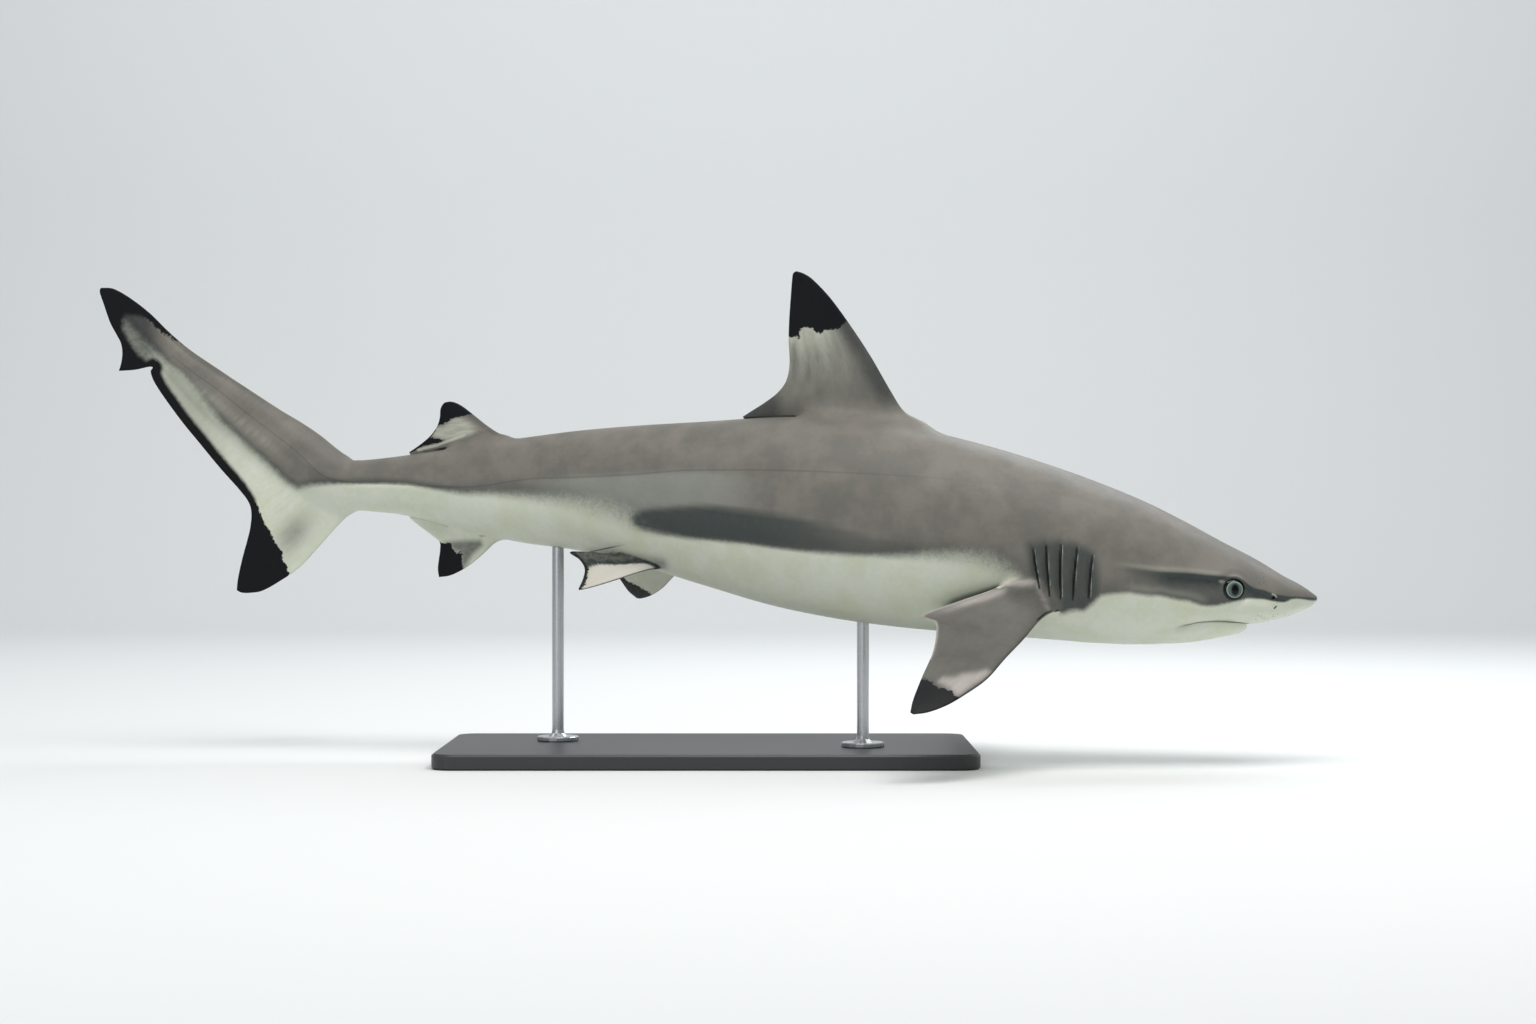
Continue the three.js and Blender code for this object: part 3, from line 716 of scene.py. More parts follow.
def fillet(mesh, body_tree, fin_tree, size, start, end, *box):
    """Moves the skin near a joint onto a smooth blend of the body and a fin. The blend's
    size fades out from start to end, and only the skin inside the box moves."""
    co = coords(mesh)
    low, high = np.array(box).reshape(3, 2).T
    pick = np.where(np.all((co > low) & (co < high), axis=1))[0]
    moved = np.zeros(len(co), bool)
    for _ in range(4):
        p = co[pick]
        reach = size * (1 - step(start, end, p[:, 0]))
        limit = float(reach.max()) + 2
        a, na = signed(body_tree, p, limit)
        b, nb = signed(fin_tree, p, limit)
        h = np.clip(reach - np.abs(a - b), 0, None) / np.maximum(reach, 1e-3)
        near = (h > 0) & (reach > 0.5)
        value = np.minimum(a, b) - h * h * reach / 4
        weight = np.clip(0.5 + 0.5 * (a - b) / np.maximum(reach, 1e-3), 0, 1)[:, None]
        grad = na * (1 - weight) + nb * weight
        square = np.maximum(np.sum(grad * grad, axis=1), 0.15)
        move = -(value / square)[:, None] * grad
        move[~near] = 0
        moved[pick[near]] = True
        co[pick] = p + np.clip(move, -6, 6)
    mesh.vertices.foreach_set("co", co.astype(np.float32).ravel())
    mesh.update()
    unfold(mesh, moved)


def unfold(mesh, moved):
    """Relaxes the moved points where the skin has folded over itself."""
    bm = bmesh.new()
    bm.from_mesh(mesh)
    edges = [e for e in bm.edges if moved[e.verts[0].index] and moved[e.verts[1].index]]
    for _ in range(10):
        sharp = [e for e in edges if e.calc_face_angle(0) > 1.7]
        folded = list({v for e in sharp for v in e.verts})
        if folded:
            bmesh.ops.smooth_vert(bm, verts=folded, factor=0.5, use_axis_x=True,
                                  use_axis_y=True, use_axis_z=True)
            bm.normal_update()
    bm.to_mesh(mesh)
    bm.free()


# ------------------------------------------------------------------ skin
# Joints with the body: size of the blend, the stations over which it fades out, and the box of
# skin that it moves, as the low and high ends of s, y and z.
JOINTS = {
    "dorsal": (26, 572, 592, 405, 620, -60, 60, 150, 260),
    "second": (12, 1000, 1012, 905, 1040, -40, 40, 140, 215),
    "anal": (12, 1000, 1010, 915, 1040, -40, 40, 40, 120),
    "tail": (13, 1210, 1390, 1095, 1440, -40, 40, -20, 400),
    "pectoral_right": (22, 338, 360, 265, 400, -160, -40, -80, 60),
    "pectoral_left": (22, 338, 360, 265, 400, 40, 160, -80, 60),
    "pelvic_right": (12, 786, 802, 705, 830, -90, 0, 0, 90),
    "pelvic_left": (12, 786, 802, 705, 830, 0, 90, -10, 90),
    "jaw": (8, 180, 150, 145, 225, -400, 400, -80, 10),
}


def build_skin():
    core = body_mesh()
    parts = {
        "jaw": jaw_mesh(),
        **median_fins(),
        "tail": tail_fin(),
        "pectoral_right": paired_fin(PECTORAL, -1, 82, 30),
        "pectoral_left": paired_fin(PECTORAL, 1, 82, 30),
        "pelvic_right": paired_fin(PELVIC, -1, 44, 20),
        "pelvic_left": paired_fin(PELVIC_LEFT, 1, 44, 20),
    }
    made = new_object("skin", *core)
    for name, shape in parts.items():
        combine(made, new_object(name, *shape), "UNION")
    body_tree = tree_of(core)
    for name, joint in JOINTS.items():
        fillet(made.data, body_tree, tree_of(parts[name]), *joint)
    return made


def ball(size, count, around):
    """Rings of a ball with three radii, from one side to the other."""
    rings = []
    b = 2 * np.pi * np.arange(around) / around
    for i in range(1, count):
        a = math.pi * i / count
        ring = [math.sin(a) * np.cos(b), np.full(around, math.cos(a)), math.sin(a) * np.sin(b)]
        rings.append(np.stack(ring, 1) * size)
    return rings


def turned(points, angle, i, j):
    """Points turned by an angle in the plane of two of their axes."""
    points = np.asarray(points, float)
    c, d = math.cos(angle), math.sin(angle)
    out = points.copy()
    out[..., i] = points[..., i] * c - points[..., j] * d
    out[..., j] = points[..., i] * d + points[..., j] * c
    return out


def eye_ball(side, grow, segments):
    """An eyeball as a closed mesh: a slightly flattened ball that looks a little forward.
    Also gives each point in the ball's own axes: backward, outward and up."""
    size = EYE_SIZE + grow
    own = ball(size, segments // 2, segments)
    ends = [np.array([[0, size[1], 0]]), np.array([[0, -size[1], 0]])]

    def place(v):
        return (turned(v, EYE_TURN, 0, 1) + EYE) * [1, side, 1]

    verts, faces = loft([place(ring) for ring in own])
    verts[-2:] = place(np.concatenate(ends))
    return verts, faces, np.concatenate(own + ends)


def gill_cutter(gill, side):
    """A thin blade that opens one gill slit behind its flap."""
    s0, z0, s1, z1 = gill
    rings = []
    for t in np.linspace(0.02, 0.98, 19):
        z = z0 + (z1 - z0) * t
        bulge = math.sin(math.pi * t)
        s = s0 + (s1 - s0) * t + 0.8 * bulge + 0.5
        wide = 0.14 + 0.34 * bulge ** 0.5
        half, level, reach, n = (value[0] for value in section(s, z))
        y = half * max(1 - (abs(z - level) / reach) ** n, 0.01) ** (1 / n)
        deep, out = y + 0.6 - 6.4 * bulge ** 0.6, y + 12
        lean = 0.16 * (out - deep)
        inner, outer = s - lean * 0.6, s + lean * 0.4
        rings.append([(inner - wide, side * deep, z), (inner + wide, side * deep, z),
                      (outer + wide, side * out, z), (outer - wide, side * out, z)])
    return loft(rings)


def ellipsoid(centre, size, turn):
    """A closed ball with three radii, turned about the sideways axis."""
    return loft([turned(ring, -turn, 0, 2) + centre for ring in ball(size, 16, 28)])


def mouth_cutter():
    """A thin curved leaf between the lower jaw and the head."""
    rings = []
    for t in np.linspace(-1, 1, 81):
        q = abs(t)
        angle = math.pi / 2 * min(q * 1.9, 1.0)
        inward = np.array([math.cos(angle), -math.copysign(math.sin(angle), t)])
        s = JAW_CORNER - (JAW_CORNER - JAW_FRONT) * math.cos(angle)
        s += max(q * 1.9 - 1, 0) / 0.9 * 38
        middle = np.array([s, -JAW_HALF * inward[1]])
        z = JAW_RIM(s)[0, 0] + 0.5
        front = 1 - step(0.12, 0.4, q)
        half = (0.7 - 0.35 * front) * (1 - q ** 5) + 0.05
        a = middle - inward * 8
        b = middle + inward * (5 - 3.4 * q - 3.8 * front)
        rise = 1 - 0.8 * front
        rings.append([(*a, z - half - rise), (*b, z - half + rise),
                      (*b, z + half + rise), (*a, z + half - rise)])
    return loft(rings)


# The two openings of the nostril: centre, radii and turn.
NOSTRIL = [((55.0, 55.5, 1.6), (2.6, 5.5, 1.5), 0.45), ((52.6, 53.5, -9.2), (1.1, 5.5, 2.8), -0.85)]
# Slots under the fins' free rear tips: start, end, body line, side of it and height.
TIP_SLOTS = [
    (592, 650, back_at, 1, 0.8), (1009, 1048, back_at, 1, 1.3), (1007, 1046, belly_at, -1, 0.4),
]
EYE_GAP = 0.3


def open_skin(skin):
    """Cuts the eye sockets, gill slits, nostrils, mouth line and the free rear tips."""
    for side in (-1, 1):
        cuts = [eye_ball(side, EYE_GAP, 72)[:2]]
        cuts += [gill_cutter(gill, side) for gill in GILLS]
        cuts += [ellipsoid((s, side * y, z), size, turn) for (s, y, z), size, turn in NOSTRIL]
        cuts += [slot_cutter(*slot, side) for slot in TIP_SLOTS]
        for cut in cuts:
            combine(skin, new_object("cut", *cut), "DIFFERENCE")
    combine(skin, new_object("cut", *mouth_cutter()), "DIFFERENCE")


# ------------------------------------------------------------------ markings and painted light
# Upper limit of the pale belly from the tail's root to the snout: s, z. It runs round the
# rear end of the dark flank band.
BELLY_EDGE = [
    [1440, 372], [1372, 300], [1346, 274], [1331, 263.5], [1313, 242], [1297, 223.5],
    [1283, 205.5], [1269, 193.5], [1251, 176.5], [1228, 157], [1204, 133], [1190, 126],
    [1172, 130], [1150, 131.5], [1120, 131.5], [1085, 132], [1049, 130.5], [1014, 124.5],
    [978, 119.5], [943, 119], [907, 116], [872, 113], [837, 108.5], [802, 101],
    [778, 93], [758, 84], [735, 75.5], [701, 68.5], [667, 65.4],
    [634, 62.3], [601, 57.6], [569, 54], [510, 49.5], [465, 48.5], [422, 49], [394, 48.5],
    [369, 43], [350, 34], [337, 22], [318, 5], [306, -11], [294, -15.4], [286, -16],
    [279, -13.2], [272, -12], [264, -13], [258, -7.5], [252, -1.5], [246, 5], [230, 7],
    [217, 8], [204, 5.6], [194, 4.2], [183, 4.6], [171, 1.4], [160, -0.4], [150, -2],
    [139, -6], [128, -7.4], [119, -6.8], [108, -4], [97, -2], [87, 0.6], [80, 0.9],
    [65, -0.1], [56, -2.3], [48, -3.5], [42, -3.5], [38, -2.4], [33, -0.4], [27, 0.1],
    [22, -0.4], [17, -1.3], [12, -2.2], [7, -2.9], [2, -2.9], [0, -2.4],
]

# How softly that limit fades, in millimetres, by station.
EDGE_SOFT = smooth([
    [0, 1.2], [60, 1.4], [110, 2.2], [170, 3.0], [250, 3.5], [305, 6], [335, 15],
    [370, 16], [430, 9], [480, 5],
    [560, 3.6], [690, 3.2], [735, 7], [765, 18], [800, 20], [845, 14], [900, 9], [980, 4.8],
    [1040, 2.8], [1120, 2.4], [1200, 6], [1300, 6], [1420, 5],
])

# Outlines of single markings in s, z.
FLANK_BAND = [
    [769, 89], [765, 95], [754, 99], [733, 101.4], [699, 104], [666, 104], [640, 101],
    [600, 96], [560, 88], [520, 78], [480, 66], [440, 58], [440, 48.5], [510, 50.5], [569, 55],
    [601, 58.5], [634, 63], [667, 66], [701, 68.5], [735, 72.5], [757, 77.5], [766, 83],
]
WEDGE = [
    [930, 122], [900, 134], [850, 139], [790, 141], [735, 143.5], [690, 145], [640, 142],
    [590, 128], [600, 108], [640, 104], [700, 106.5], [745, 103], [770, 96], [820, 100],
    [880, 108], [930, 114],
]
GILL_PATCH = [
    [324, 62], [305, 66], [289, 66], [270, 62], [254, 53], [249, 30], [246, 8], [252, -6],
    [266, -14], [290, -17], [306, -13], [316, 8], [322, 30],
]
BLACK_DORSAL = [
    [640, 302], [598.7, 302], [592.5, 301.6], [586.6, 299.4], [586, 306], [585.3, 311],
    [579.7, 313.4], [570.4, 310.8], [566.9, 307.2], [561, 304.8], [556.5, 309.2],
    [548, 309.4], [540.4, 310.4], [538, 313.8], [530, 319.5], [505, 335], [505, 420],
    [640, 420],
]
BLACK_SECOND = [
    [1040, 201.5], [1020, 201.8], [1013, 202.3], [1004.4, 208.7], [995.8, 211.8],
    [983, 213.9], [960, 217], [960, 245], [1040, 245],
]
BLACK_SECOND_REAR = [
    [1020.5, 197.5], [1030.1, 187], [1018.6, 185.4], [1008.6, 184.1], [1021.5, 179.4],
    [1036, 176.2], [1047, 172], [1060, 166], [1070, 180], [1040, 200],
]
SECOND_STREAK = [[1044, 172.4], [1036, 174.6], [1020, 178.2], [1003, 184.4], [986, 190.5]]
PALE_SECOND = [
    [1024, 200], [1013, 201.5], [1004, 207.5], [996, 210.5], [983, 212], [966, 199],
    [978, 191], [1008, 183], [1026, 190],
]
BLACK_ANAL = [
    [1040, 61.5], [1018, 61], [1004.4, 60.9], [1000, 54], [995.8, 48.3], [990.1, 51],
    [989, 38], [987.8, 28.8], [986, 5], [1040, 5],
]
GREY_ANAL = [
    [1010, 62], [985, 64], [966, 64], [964, 58], [976, 47], [985, 34], [990, 28],
    [992, 50], [998, 50],
]
BLACK_TAIL_TIP = [
    [1362, 331], [1374, 334.5], [1386, 337.5], [1400.6, 338.8], [1405.5, 332],
    [1405.9, 318], [1402, 310.4], [1397.3, 303], [1391.5, 293.8], [1386, 286.3],
    [1376.4, 279], [1368.8, 273.6], [1372, 262], [1420, 262], [1450, 300], [1450, 400],
    [1350, 400],
]
BLACK_LOWER_LOBE = [
    [1262, 118], [1245, 112], [1239, 104], [1233, 88.5], [1226, 77], [1220.6, 66.4],
    [1216.5, 58.2], [1208.4, 48.3], [1209.2, 40], [1203.4, 32], [1202.2, 22], [1199, 8],
    [1198, -20], [1290, -20], [1290, 118],
]
BLACK_PECTORAL = [
    [460, -80], [424, -81.3], [417, -83], [413.6, -84.6], [408, -90.4], [401.5, -90.2],
    [398, -93.6], [395, -93], [393, -98], [388.4, -99.4], [370, -104], [370, -150],
    [460, -150],
]
BLACK_PELVIC = [
    [830, 22], [816.2, 16.9], [810.7, 13.4], [805, 11.3], [798, 8.2], [793.9, 5.4],
    [792, 2.3], [785, -1.2], [780, -8], [800, -16], [815, -12], [830, 8],
]
TAIL_MARGIN = [
    [1367, 272], [1370, 267], [1362, 249], [1335, 211], [1310, 180.3], [1286, 151.3],
    [1262, 124.5], [1251, 109.5], [1247.8, 97],
]
TAIL_BACK = [[1322, 294], [1347, 315], [1371, 338.5], [1395, 357]]
PALE_PECTORAL = [
    [408, -84], [404, -80.5], [393, -79.5], [386, -76.5], [374, -75.5], [364, -73], [360, -76],
    [368, -83], [375, -87.5], [386, -97], [390, -98], [394, -94], [398, -90], [402, -88],
]


def shell_distance(co):
    """Rough distance of each point outside the plain body."""
    s, y, z = co.T
    half, level, reach, n = section(s, z)
    half, reach = np.maximum(half, 0.01), np.maximum(reach, 0.01)
    ratio = (np.abs(y / half) ** n + np.abs((z - level) / reach) ** n) ** (1 / n)
    return (ratio - 1) * np.minimum(half, reach)


def fin_places(points, lead, rear):
    """Height of each point above the middle sheet of a paired fin, and how far along the
    fin it lies, from 0 at the root to 1 at the tip."""
    n = len(lead)
    corners = [tuple(p) for p in np.concatenate([lead, rear])]
    sheet = BVHTree.FromPolygons(corners, [(i, i + 1, n + i + 1, n + i) for i in range(n - 1)])
    height = np.zeros(len(points))
    share = np.zeros(len(points))
    for i, p in enumerate(points):
        hit, normal, face, _ = sheet.find_nearest(Vector(p))
        height[i] = (Vector(p) - hit).dot(normal) * (1 if normal.z > 0 else -1)
        share[i] = face / (n - 2)
    return height, share


# Where there is no black, and a distance at which no line shows.
NO_BLACK = -30.0
FAR = 50.0


class Patch:
    """Some points of the straight skin, and the marking fields there."""

    def __init__(self, co, fields, where):
        self.fields = fields
        self.index = np.where(where)[0]
        self.co = co[self.index]
        self.s, self.y, self.z = self.co.T
        self.flat = self.co[:, [0, 2]]
        self.side = np.abs(self.y)
        self.over = self.z - back_at(self.s)

    def part(self, where):
        """The points of the whole skin for which where is true."""
        return Patch(self.co, self.fields, where)

    def get(self, name):
        return self.fields[name][self.index]

    def put(self, name, values):
        self.fields[name][self.index] = values

    def most(self, name, values):
        self.put(name, np.maximum(self.get(name), values))

    def least(self, name, values):
        self.put(name, np.minimum(self.get(name), values))

    def far(self, line):
        """Distance to a line, seen from the side."""
        return polyline_distance(self.flat, line)

    def within(self, outline):
        """Distance inside a closed outline, negative outside."""
        outline = np.array(outline, float)
        d = self.far(np.concatenate([outline, outline[:1]]))
        return np.where(inside(self.flat, outline), d, -d)

    def area(self, outline, soft):
        """Weight of a soft-edged marking: 1 inside its outline and 0 outside."""
        return step(-soft, soft, self.within(outline))


def paint_body(skin):
    """The dark back with its darker tones, and the pale belly. Also a painted highlight along the
    brow's ridge, a dark band under it that is partly painted shade, and painted shade over the
    pale lower part of the tail fin.
    """
    s, z = skin.s, skin.z
    edge = np.array(BELLY_EDGE, float)
    below = np.concatenate([edge, [[-60, -2.4], [-60, -400], [1600, -400], [1600, 372]]])
    dark = skin.far(edge)
    dark = np.where(inside(skin.flat, below), -dark, dark)
    skin.put("dark", dark / EDGE_SOFT(s)[:, 0])
    under = BROW(s)[:, 0] - z
    # dark band under the brow's ridge: partly dark pigment, partly painted shade under the overhang
    cheek = step(-1.0, 1.0, under) * (1 - step(165, 225, s))
    skin.most("band", cheek * (0.95 - 0.3 * step(4, 22, under)))
    rear = step(930, 1010, s)
    lower = 0.75 * (1 - step(1, 11, dark)) * rear + 0.36 * (1 - step(3, 26, dark)) * (1 - rear)
    skin.most("band", lower * (s > 215))
    skin.most("band", 0.78 * skin.area(GILL_PATCH, 7))
    skin.put("flank", skin.area(FLANK_BAND, 4.5) * (0.25 + 0.75 * step(430, 640, s)))
    skin.put("wedge", skin.area(WEDGE, 5) * between(s, 590, 690, 830, 930))
    # painted highlight along the ridge of the brow, and pale flecks at the lower edge of the cheek
    crest_highlight = hump(under + 3.5, 2.6) * between(s, 100, 125, 200, 245)
    skin.most("pale", 0.2 * crest_highlight * (skin.side > 20))
    flecked = hump(dark - 7, 4) * between(s, 125, 140, 205, 235)
    skin.most("pale", 0.16 * flecked * (skin.side > 40))
    # painted shade that greys the pale lower part of the tail fin
    skin.most("shade", 0.36 * step(1240, 1330, s) * step(4, -6, dark) * (s > 1135))


def paint_first_dorsal(fin):
    lead = fin.far(sample(D1_LEAD, 6))
    trail = fin.far(sample(D1_TRAIL, 6))
    tip = fin.within(BLACK_DORSAL)
    fade = 0.8 * np.exp(-np.clip(-tip, 0, None) / 20) + 0.22 * hump(tip, 70)
    fin.most("pale", fade * step(5, 24, lead) * step(3, 30, fin.over))
    fin.most("pale", 0.75 * hump(trail, 1.1) * step(252, 262, fin.z))
    fin.most("shade", (0.22 + 0.54 * (1 - step(1, 36, lead))) * step(6, 40, fin.over))
    fin.most("shade", 0.42 * hump(trail - 6, 4) * between(fin.z, 238, 258, 292, 301))
    fin.most("shade", 0.66 * step(598, 618, fin.s) * (1 - step(222, 258, fin.z)))
    fin.most("black", tip / 0.9)
    fin.put("ray", 36 * chord(lead, trail))
    fin.most("streak", step(3, 22, fin.over))


def paint_second_dorsal(fin):
    lead = fin.far(sample(D2_LEAD, 5))
    streak = fin.far(SECOND_STREAK)
    fin.most("pale", 0.62 * fin.area(PALE_SECOND, 4) * step(4, 18, lead))
    fin.most("black", fin.within(BLACK_SECOND) / 0.9)
    fin.most("black", fin.within(BLACK_SECOND_REAR) / 0.7)
    fin.put("black", np.where(streak < 1.6, -4, fin.get("black")))
    fin.least("rim", 0.55 * streak)
    fin.most("shade", 0.5 * (1 - step(1, 8, lead)) * step(2, 12, fin.over))
    fin.put("ray", 0.9 * fin.z + 0.14 * fin.s)
    fin.most("streak", 1.3 * step(2, 8, fin.over))


def paint_anal_fin(fin):
    fin.most("shade", 0.74 * fin.area(GREY_ANAL, 4.5))
    fin.most("shade", 0.8 * hump(fin.s - 964.5, 2.34, fin.z - 69.8, 1.3))
    fin.most("black", fin.within(BLACK_ANAL) / 0.9)
    fin.put("ray", 24 * chord(fin.far(sample(ANAL_LEAD, 5)), fin.far(sample(ANAL_TRAIL, 5))))
    fin.most("streak", 1.0)


def paint_tail_fin(fin):
    s, z = fin.s, fin.z
    reach = 1 - 0.3 * step(150, 90, z)
    fin.most("gloom", 1 - step(6 * reach, 17 * reach, fin.far(TAIL_MARGIN)))
    upper_edge = (8 * step(1322, 1362, s) - 1 - fin.far(TAIL_BACK)) / 2.0
    fin.most("black", np.where(s > 1322, upper_edge, NO_BLACK))
    tip = fin.within(BLACK_TAIL_TIP)
    fin.most("black", (tip - 3.5) / 1.6)
    fin.most("gloom", step(-9, 5, tip))
    fin.most("black", fin.within(BLACK_LOWER_LOBE))
    behind, above = s - 1196, z - 72
    patch = np.hypot(behind * 0.75 + above * 0.66, (above * 0.75 - behind * 0.66) / 1.7)
    fin.most("shade", 0.5 * hump(patch, 17))
    fin.most("shade", 0.78 * step(1344, 1378, s) * step(256, 276, z))
    middle = z - LATERAL(s)[:, 0]
    fin.most("pale", 0.22 * hump(middle + 17, 10) * between(s, 1185, 1235, 1330, 1362))
    fin.put("ray", 0.5 * s + 0.55 * z)
    fin.most("streak", step(1150, 1200, s))


def paint_pectoral(fin, off, height, share, lead, rear):
    """Gives the weight of the fin over the body's colours, and its pale and dark tones, among
    them a painted highlight along the upper side's rear edge near the root.
    """
    upper = height > 0
    late = step(325, 342, fin.s)
    on = step(1 + 2.5 * late, 4.5 + 4.5 * late, off)
    body = fin.get("dark")
    fin.put("dark", body + (np.clip(6 * height, -6, 6) - body) * on)
    fin.put("band", fin.get("band") * (1 - on))
    fin.most("black", fin.within(BLACK_PECTORAL) / 0.9)
    spots = 0.8 * fin.area(PALE_PECTORAL, 4.2) * upper
    spots = np.maximum(spots, hump(rear, 1.5) * (fin.z > -60))
    # painted highlight in a band along the rear edge near the root, on the upper side
    spots = np.maximum(spots, 0.7 * hump(rear - 6, 5) * step(0.36, 0.2, share) * upper)
    tone = np.maximum(hump(lead, 2.4), 0.34 * upper)
    outer = step(-50, -90, fin.z) * step(0.35, 0.9, chord(lead, rear))
    return on, spots, np.maximum(tone, 0.45 * outer * upper)


def paint_pelvic(fin, off, height, share, lead, rear, tip_edge, hand):
    """Gives the weight of the fin over the body's colours, and its pale and dark tones; on the
    upper side the dark tone near the body is painted shade of the body's shadow.
    """
    upper = height > 0
    on = step(1.0, 3.5, off)
    behind = polyline_distance(fin.co, tip_edge)
    below = np.maximum(9.0 - behind, fin.within(BLACK_PELVIC) * (hand > 0))
    black = np.where(upper, 4.4 - behind, below) / 1.3
    fin.most("black", np.where(on > 0.4, black, NO_BLACK))
    past = chord(lead, rear) - np.minimum(1.52 * share - 0.17, 0.93)
    panel = step(0.05, -0.05, past) * step(0.2, 0.26, share)
    # upper side outside the pale panel: dark, and near the body blackened through gloom; the dark
    # rear margin is the fin's colour, the darkness near the body is painted shade
    tone = (1 - panel) * (1 - 0.16 * step(0.05, 0.4, past)) * upper
    tone = np.maximum(tone, 0.9 * hump(lead, 1.2))
    fin.most("gloom", 0.42 * (1 - panel) * upper * on)
    return on, 0.7 * panel * upper, np.maximum(tone, 0.2 * panel * upper)


def paint_paired_fins(skin):
    off = shell_distance(skin.co)
    for table, hand in ((PECTORAL, -1), (PECTORAL, 1), (PELVIC, -1), (PELVIC_LEFT, 1)):
        large = table is PECTORAL
        lead, rear, _, _ = fin_frame(table, hand, np.linspace(0, 1, 121))
        near = (skin.s > lead[:, 0].min() - 6) & (skin.s < rear[:, 0].max() + 6)
        near &= (skin.y * hand > 22) & (off > 0.8) & (skin.z < (60 if large else 72))
        fin = skin.part(near)
        height, share = fin_places(fin.co, lead, rear)
        edges = [polyline_distance(fin.co, edge) for edge in (lead, rear)]
        fin.put("ray", (40 if large else 20) * chord(*edges))
        fin.put("warm", height > 0)
        if large:
            on, spots, tone = paint_pectoral(fin, off[near], height, share, *edges)
        else:
            tip_edge = np.array(table["rear"][3:]) * [1, hand, 1]
            on, spots, tone = paint_pelvic(fin, off[near], height, share, *edges, tip_edge, hand)
        fin.put("streak", on)
        fin.most("pale", spots * on)
        fin.most("shade", tone * on)


def paint_roots(skin):
    """Painted highlights on the skin folds at the pectoral fin's root, painted shadow in the
    hollow behind it and painted shade along the pelvic fin's root; also the crease and
    lateral line fields.
    """
    s, z, side = skin.s, skin.z, skin.side
    off = shell_distance(skin.co)
    # pale patch on the pad over the pectoral fin's rear root, partly painted highlight where the
    # pad catches the light
    pale_fold_and_highlight = hump(((s - 331) / 17) ** 2, 1, z - 19, 4.0) * (side > 60)
    skin.most("warm", pale_fold_and_highlight)
    skin.most("pale", 0.72 * pale_fold_and_highlight)
    skin.most("pale", 0.95 * hump(s - 345, 7, z - 18, 3.2) * (side > 60))
    # light line in front of the pectoral fin's root: a painted highlight
    skin.most("pale", 0.34 * hump(skin.far([[316, 19], [309, 5], [302, -11]]), 2.6) * (side > 50))
    # painted shadow in the hollow above the pectoral fin's rear edge; the shader also draws it as a
    # dark line
    hollow = z - np.interp(s, [354, 366, 395, 415], [14, 9, 0, -8])
    hollow = np.clip(hollow - 3 * np.clip(off - 1.5, 0, None), -30, 40)
    skin.put("hollow", hollow)
    wide = between(s, 336, 356, 404, 436) * hump(hollow, 12)
    skin.most("shade", np.where((side > 50) & (off < 2), 0.42 * wide, 0))
    # painted shade on the body along the root of the pelvic fin
    root = skin.far([[738, 38], [765, 43], [800, 48], [826, 47]])
    skin.most("shade", 0.62 * hump(root, 7) * ((side > 12) & (off < 2.5)))
    # the shader paints shade along this crease
    skin.put("crease", pelvic_crease(s, z))
    traced = (s > 240) & (s < 1345) & ((off < 1.5) | (s > 1140))
    skin.put("lateral", np.where(traced, z - LATERAL(s)[:, 0], 40))


def paint_head(skin):
    """Pores of the snout, a painted highlight on the nostril's flap, the lids and a painted
    glint behind the eye.
    """
    s, z, outer = skin.s, skin.z, skin.side > CHEEK
    pores = np.minimum(1.6 * hump(s - 69, 7.5, z - 23, 6.5), 1)
    skin.put("pores", np.maximum(pores, between(s, 12, 20, 70, 88) * step(-14, -19, z)))
    # painted highlight on the rim of the nostril's flap
    flap = skin.far([[57, 5.8], [54, 4.9], [51.8, 2.4]])
    skin.least("rim", np.where(outer, flap, FAR))
    skin.put("lid", np.where(outer, np.hypot(s - EYE[0], z - EYE[2]), FAR))
    # painted glint behind the eye
    skin.most("pale", 0.75 * hump(s - 114.4, 2.6, z - 20.2, 1.6) * outer)


def paint_gills(flank):
    """Each slit is painted shade in the gap behind its flap, with a painted highlight on the
    flap's rear edge and a fainter dark line 6 mm further forward.
    """
    for gill in GILLS:
        behind, t = slit_field(flank.s, flank.z, gill)
        ends = np.maximum(np.maximum(-t, t - 1), 0) * 50
        flank.least("slit", np.hypot(behind - 0.9, ends) + 0.35)
        flank.least("slit", np.hypot(behind + 6, ends) + 1.35)
        flank.least("rim", np.hypot(behind + 1.6, ends) + 0.6)
    # dark line where the front of the pectoral fin meets the body
    front = flank.far([[314, -22], [305, -14.6], [300, -12.8], [292, -12]])
    flank.least("slit", np.where(flank.side > 60, 0.75 * front + 0.4, FAR))


def paint_free_tips(skin):
    """Shadow under the free rear tips of the dorsal fins."""
    for start, end, thick in ((592, 650, 0.0), (1010, 1037, 1.0)):
        past = np.maximum(np.maximum(start - skin.s, skin.s - end), 0)
        apart = np.abs(skin.over - 0.7) - thick * step(end, start, skin.s)
        near = np.hypot(np.maximum(apart, 0), past)
        slit = skin.get("slit")
        skin.put("slit", np.where((skin.side < 12) & (near < slit), near + 0.3, slit))


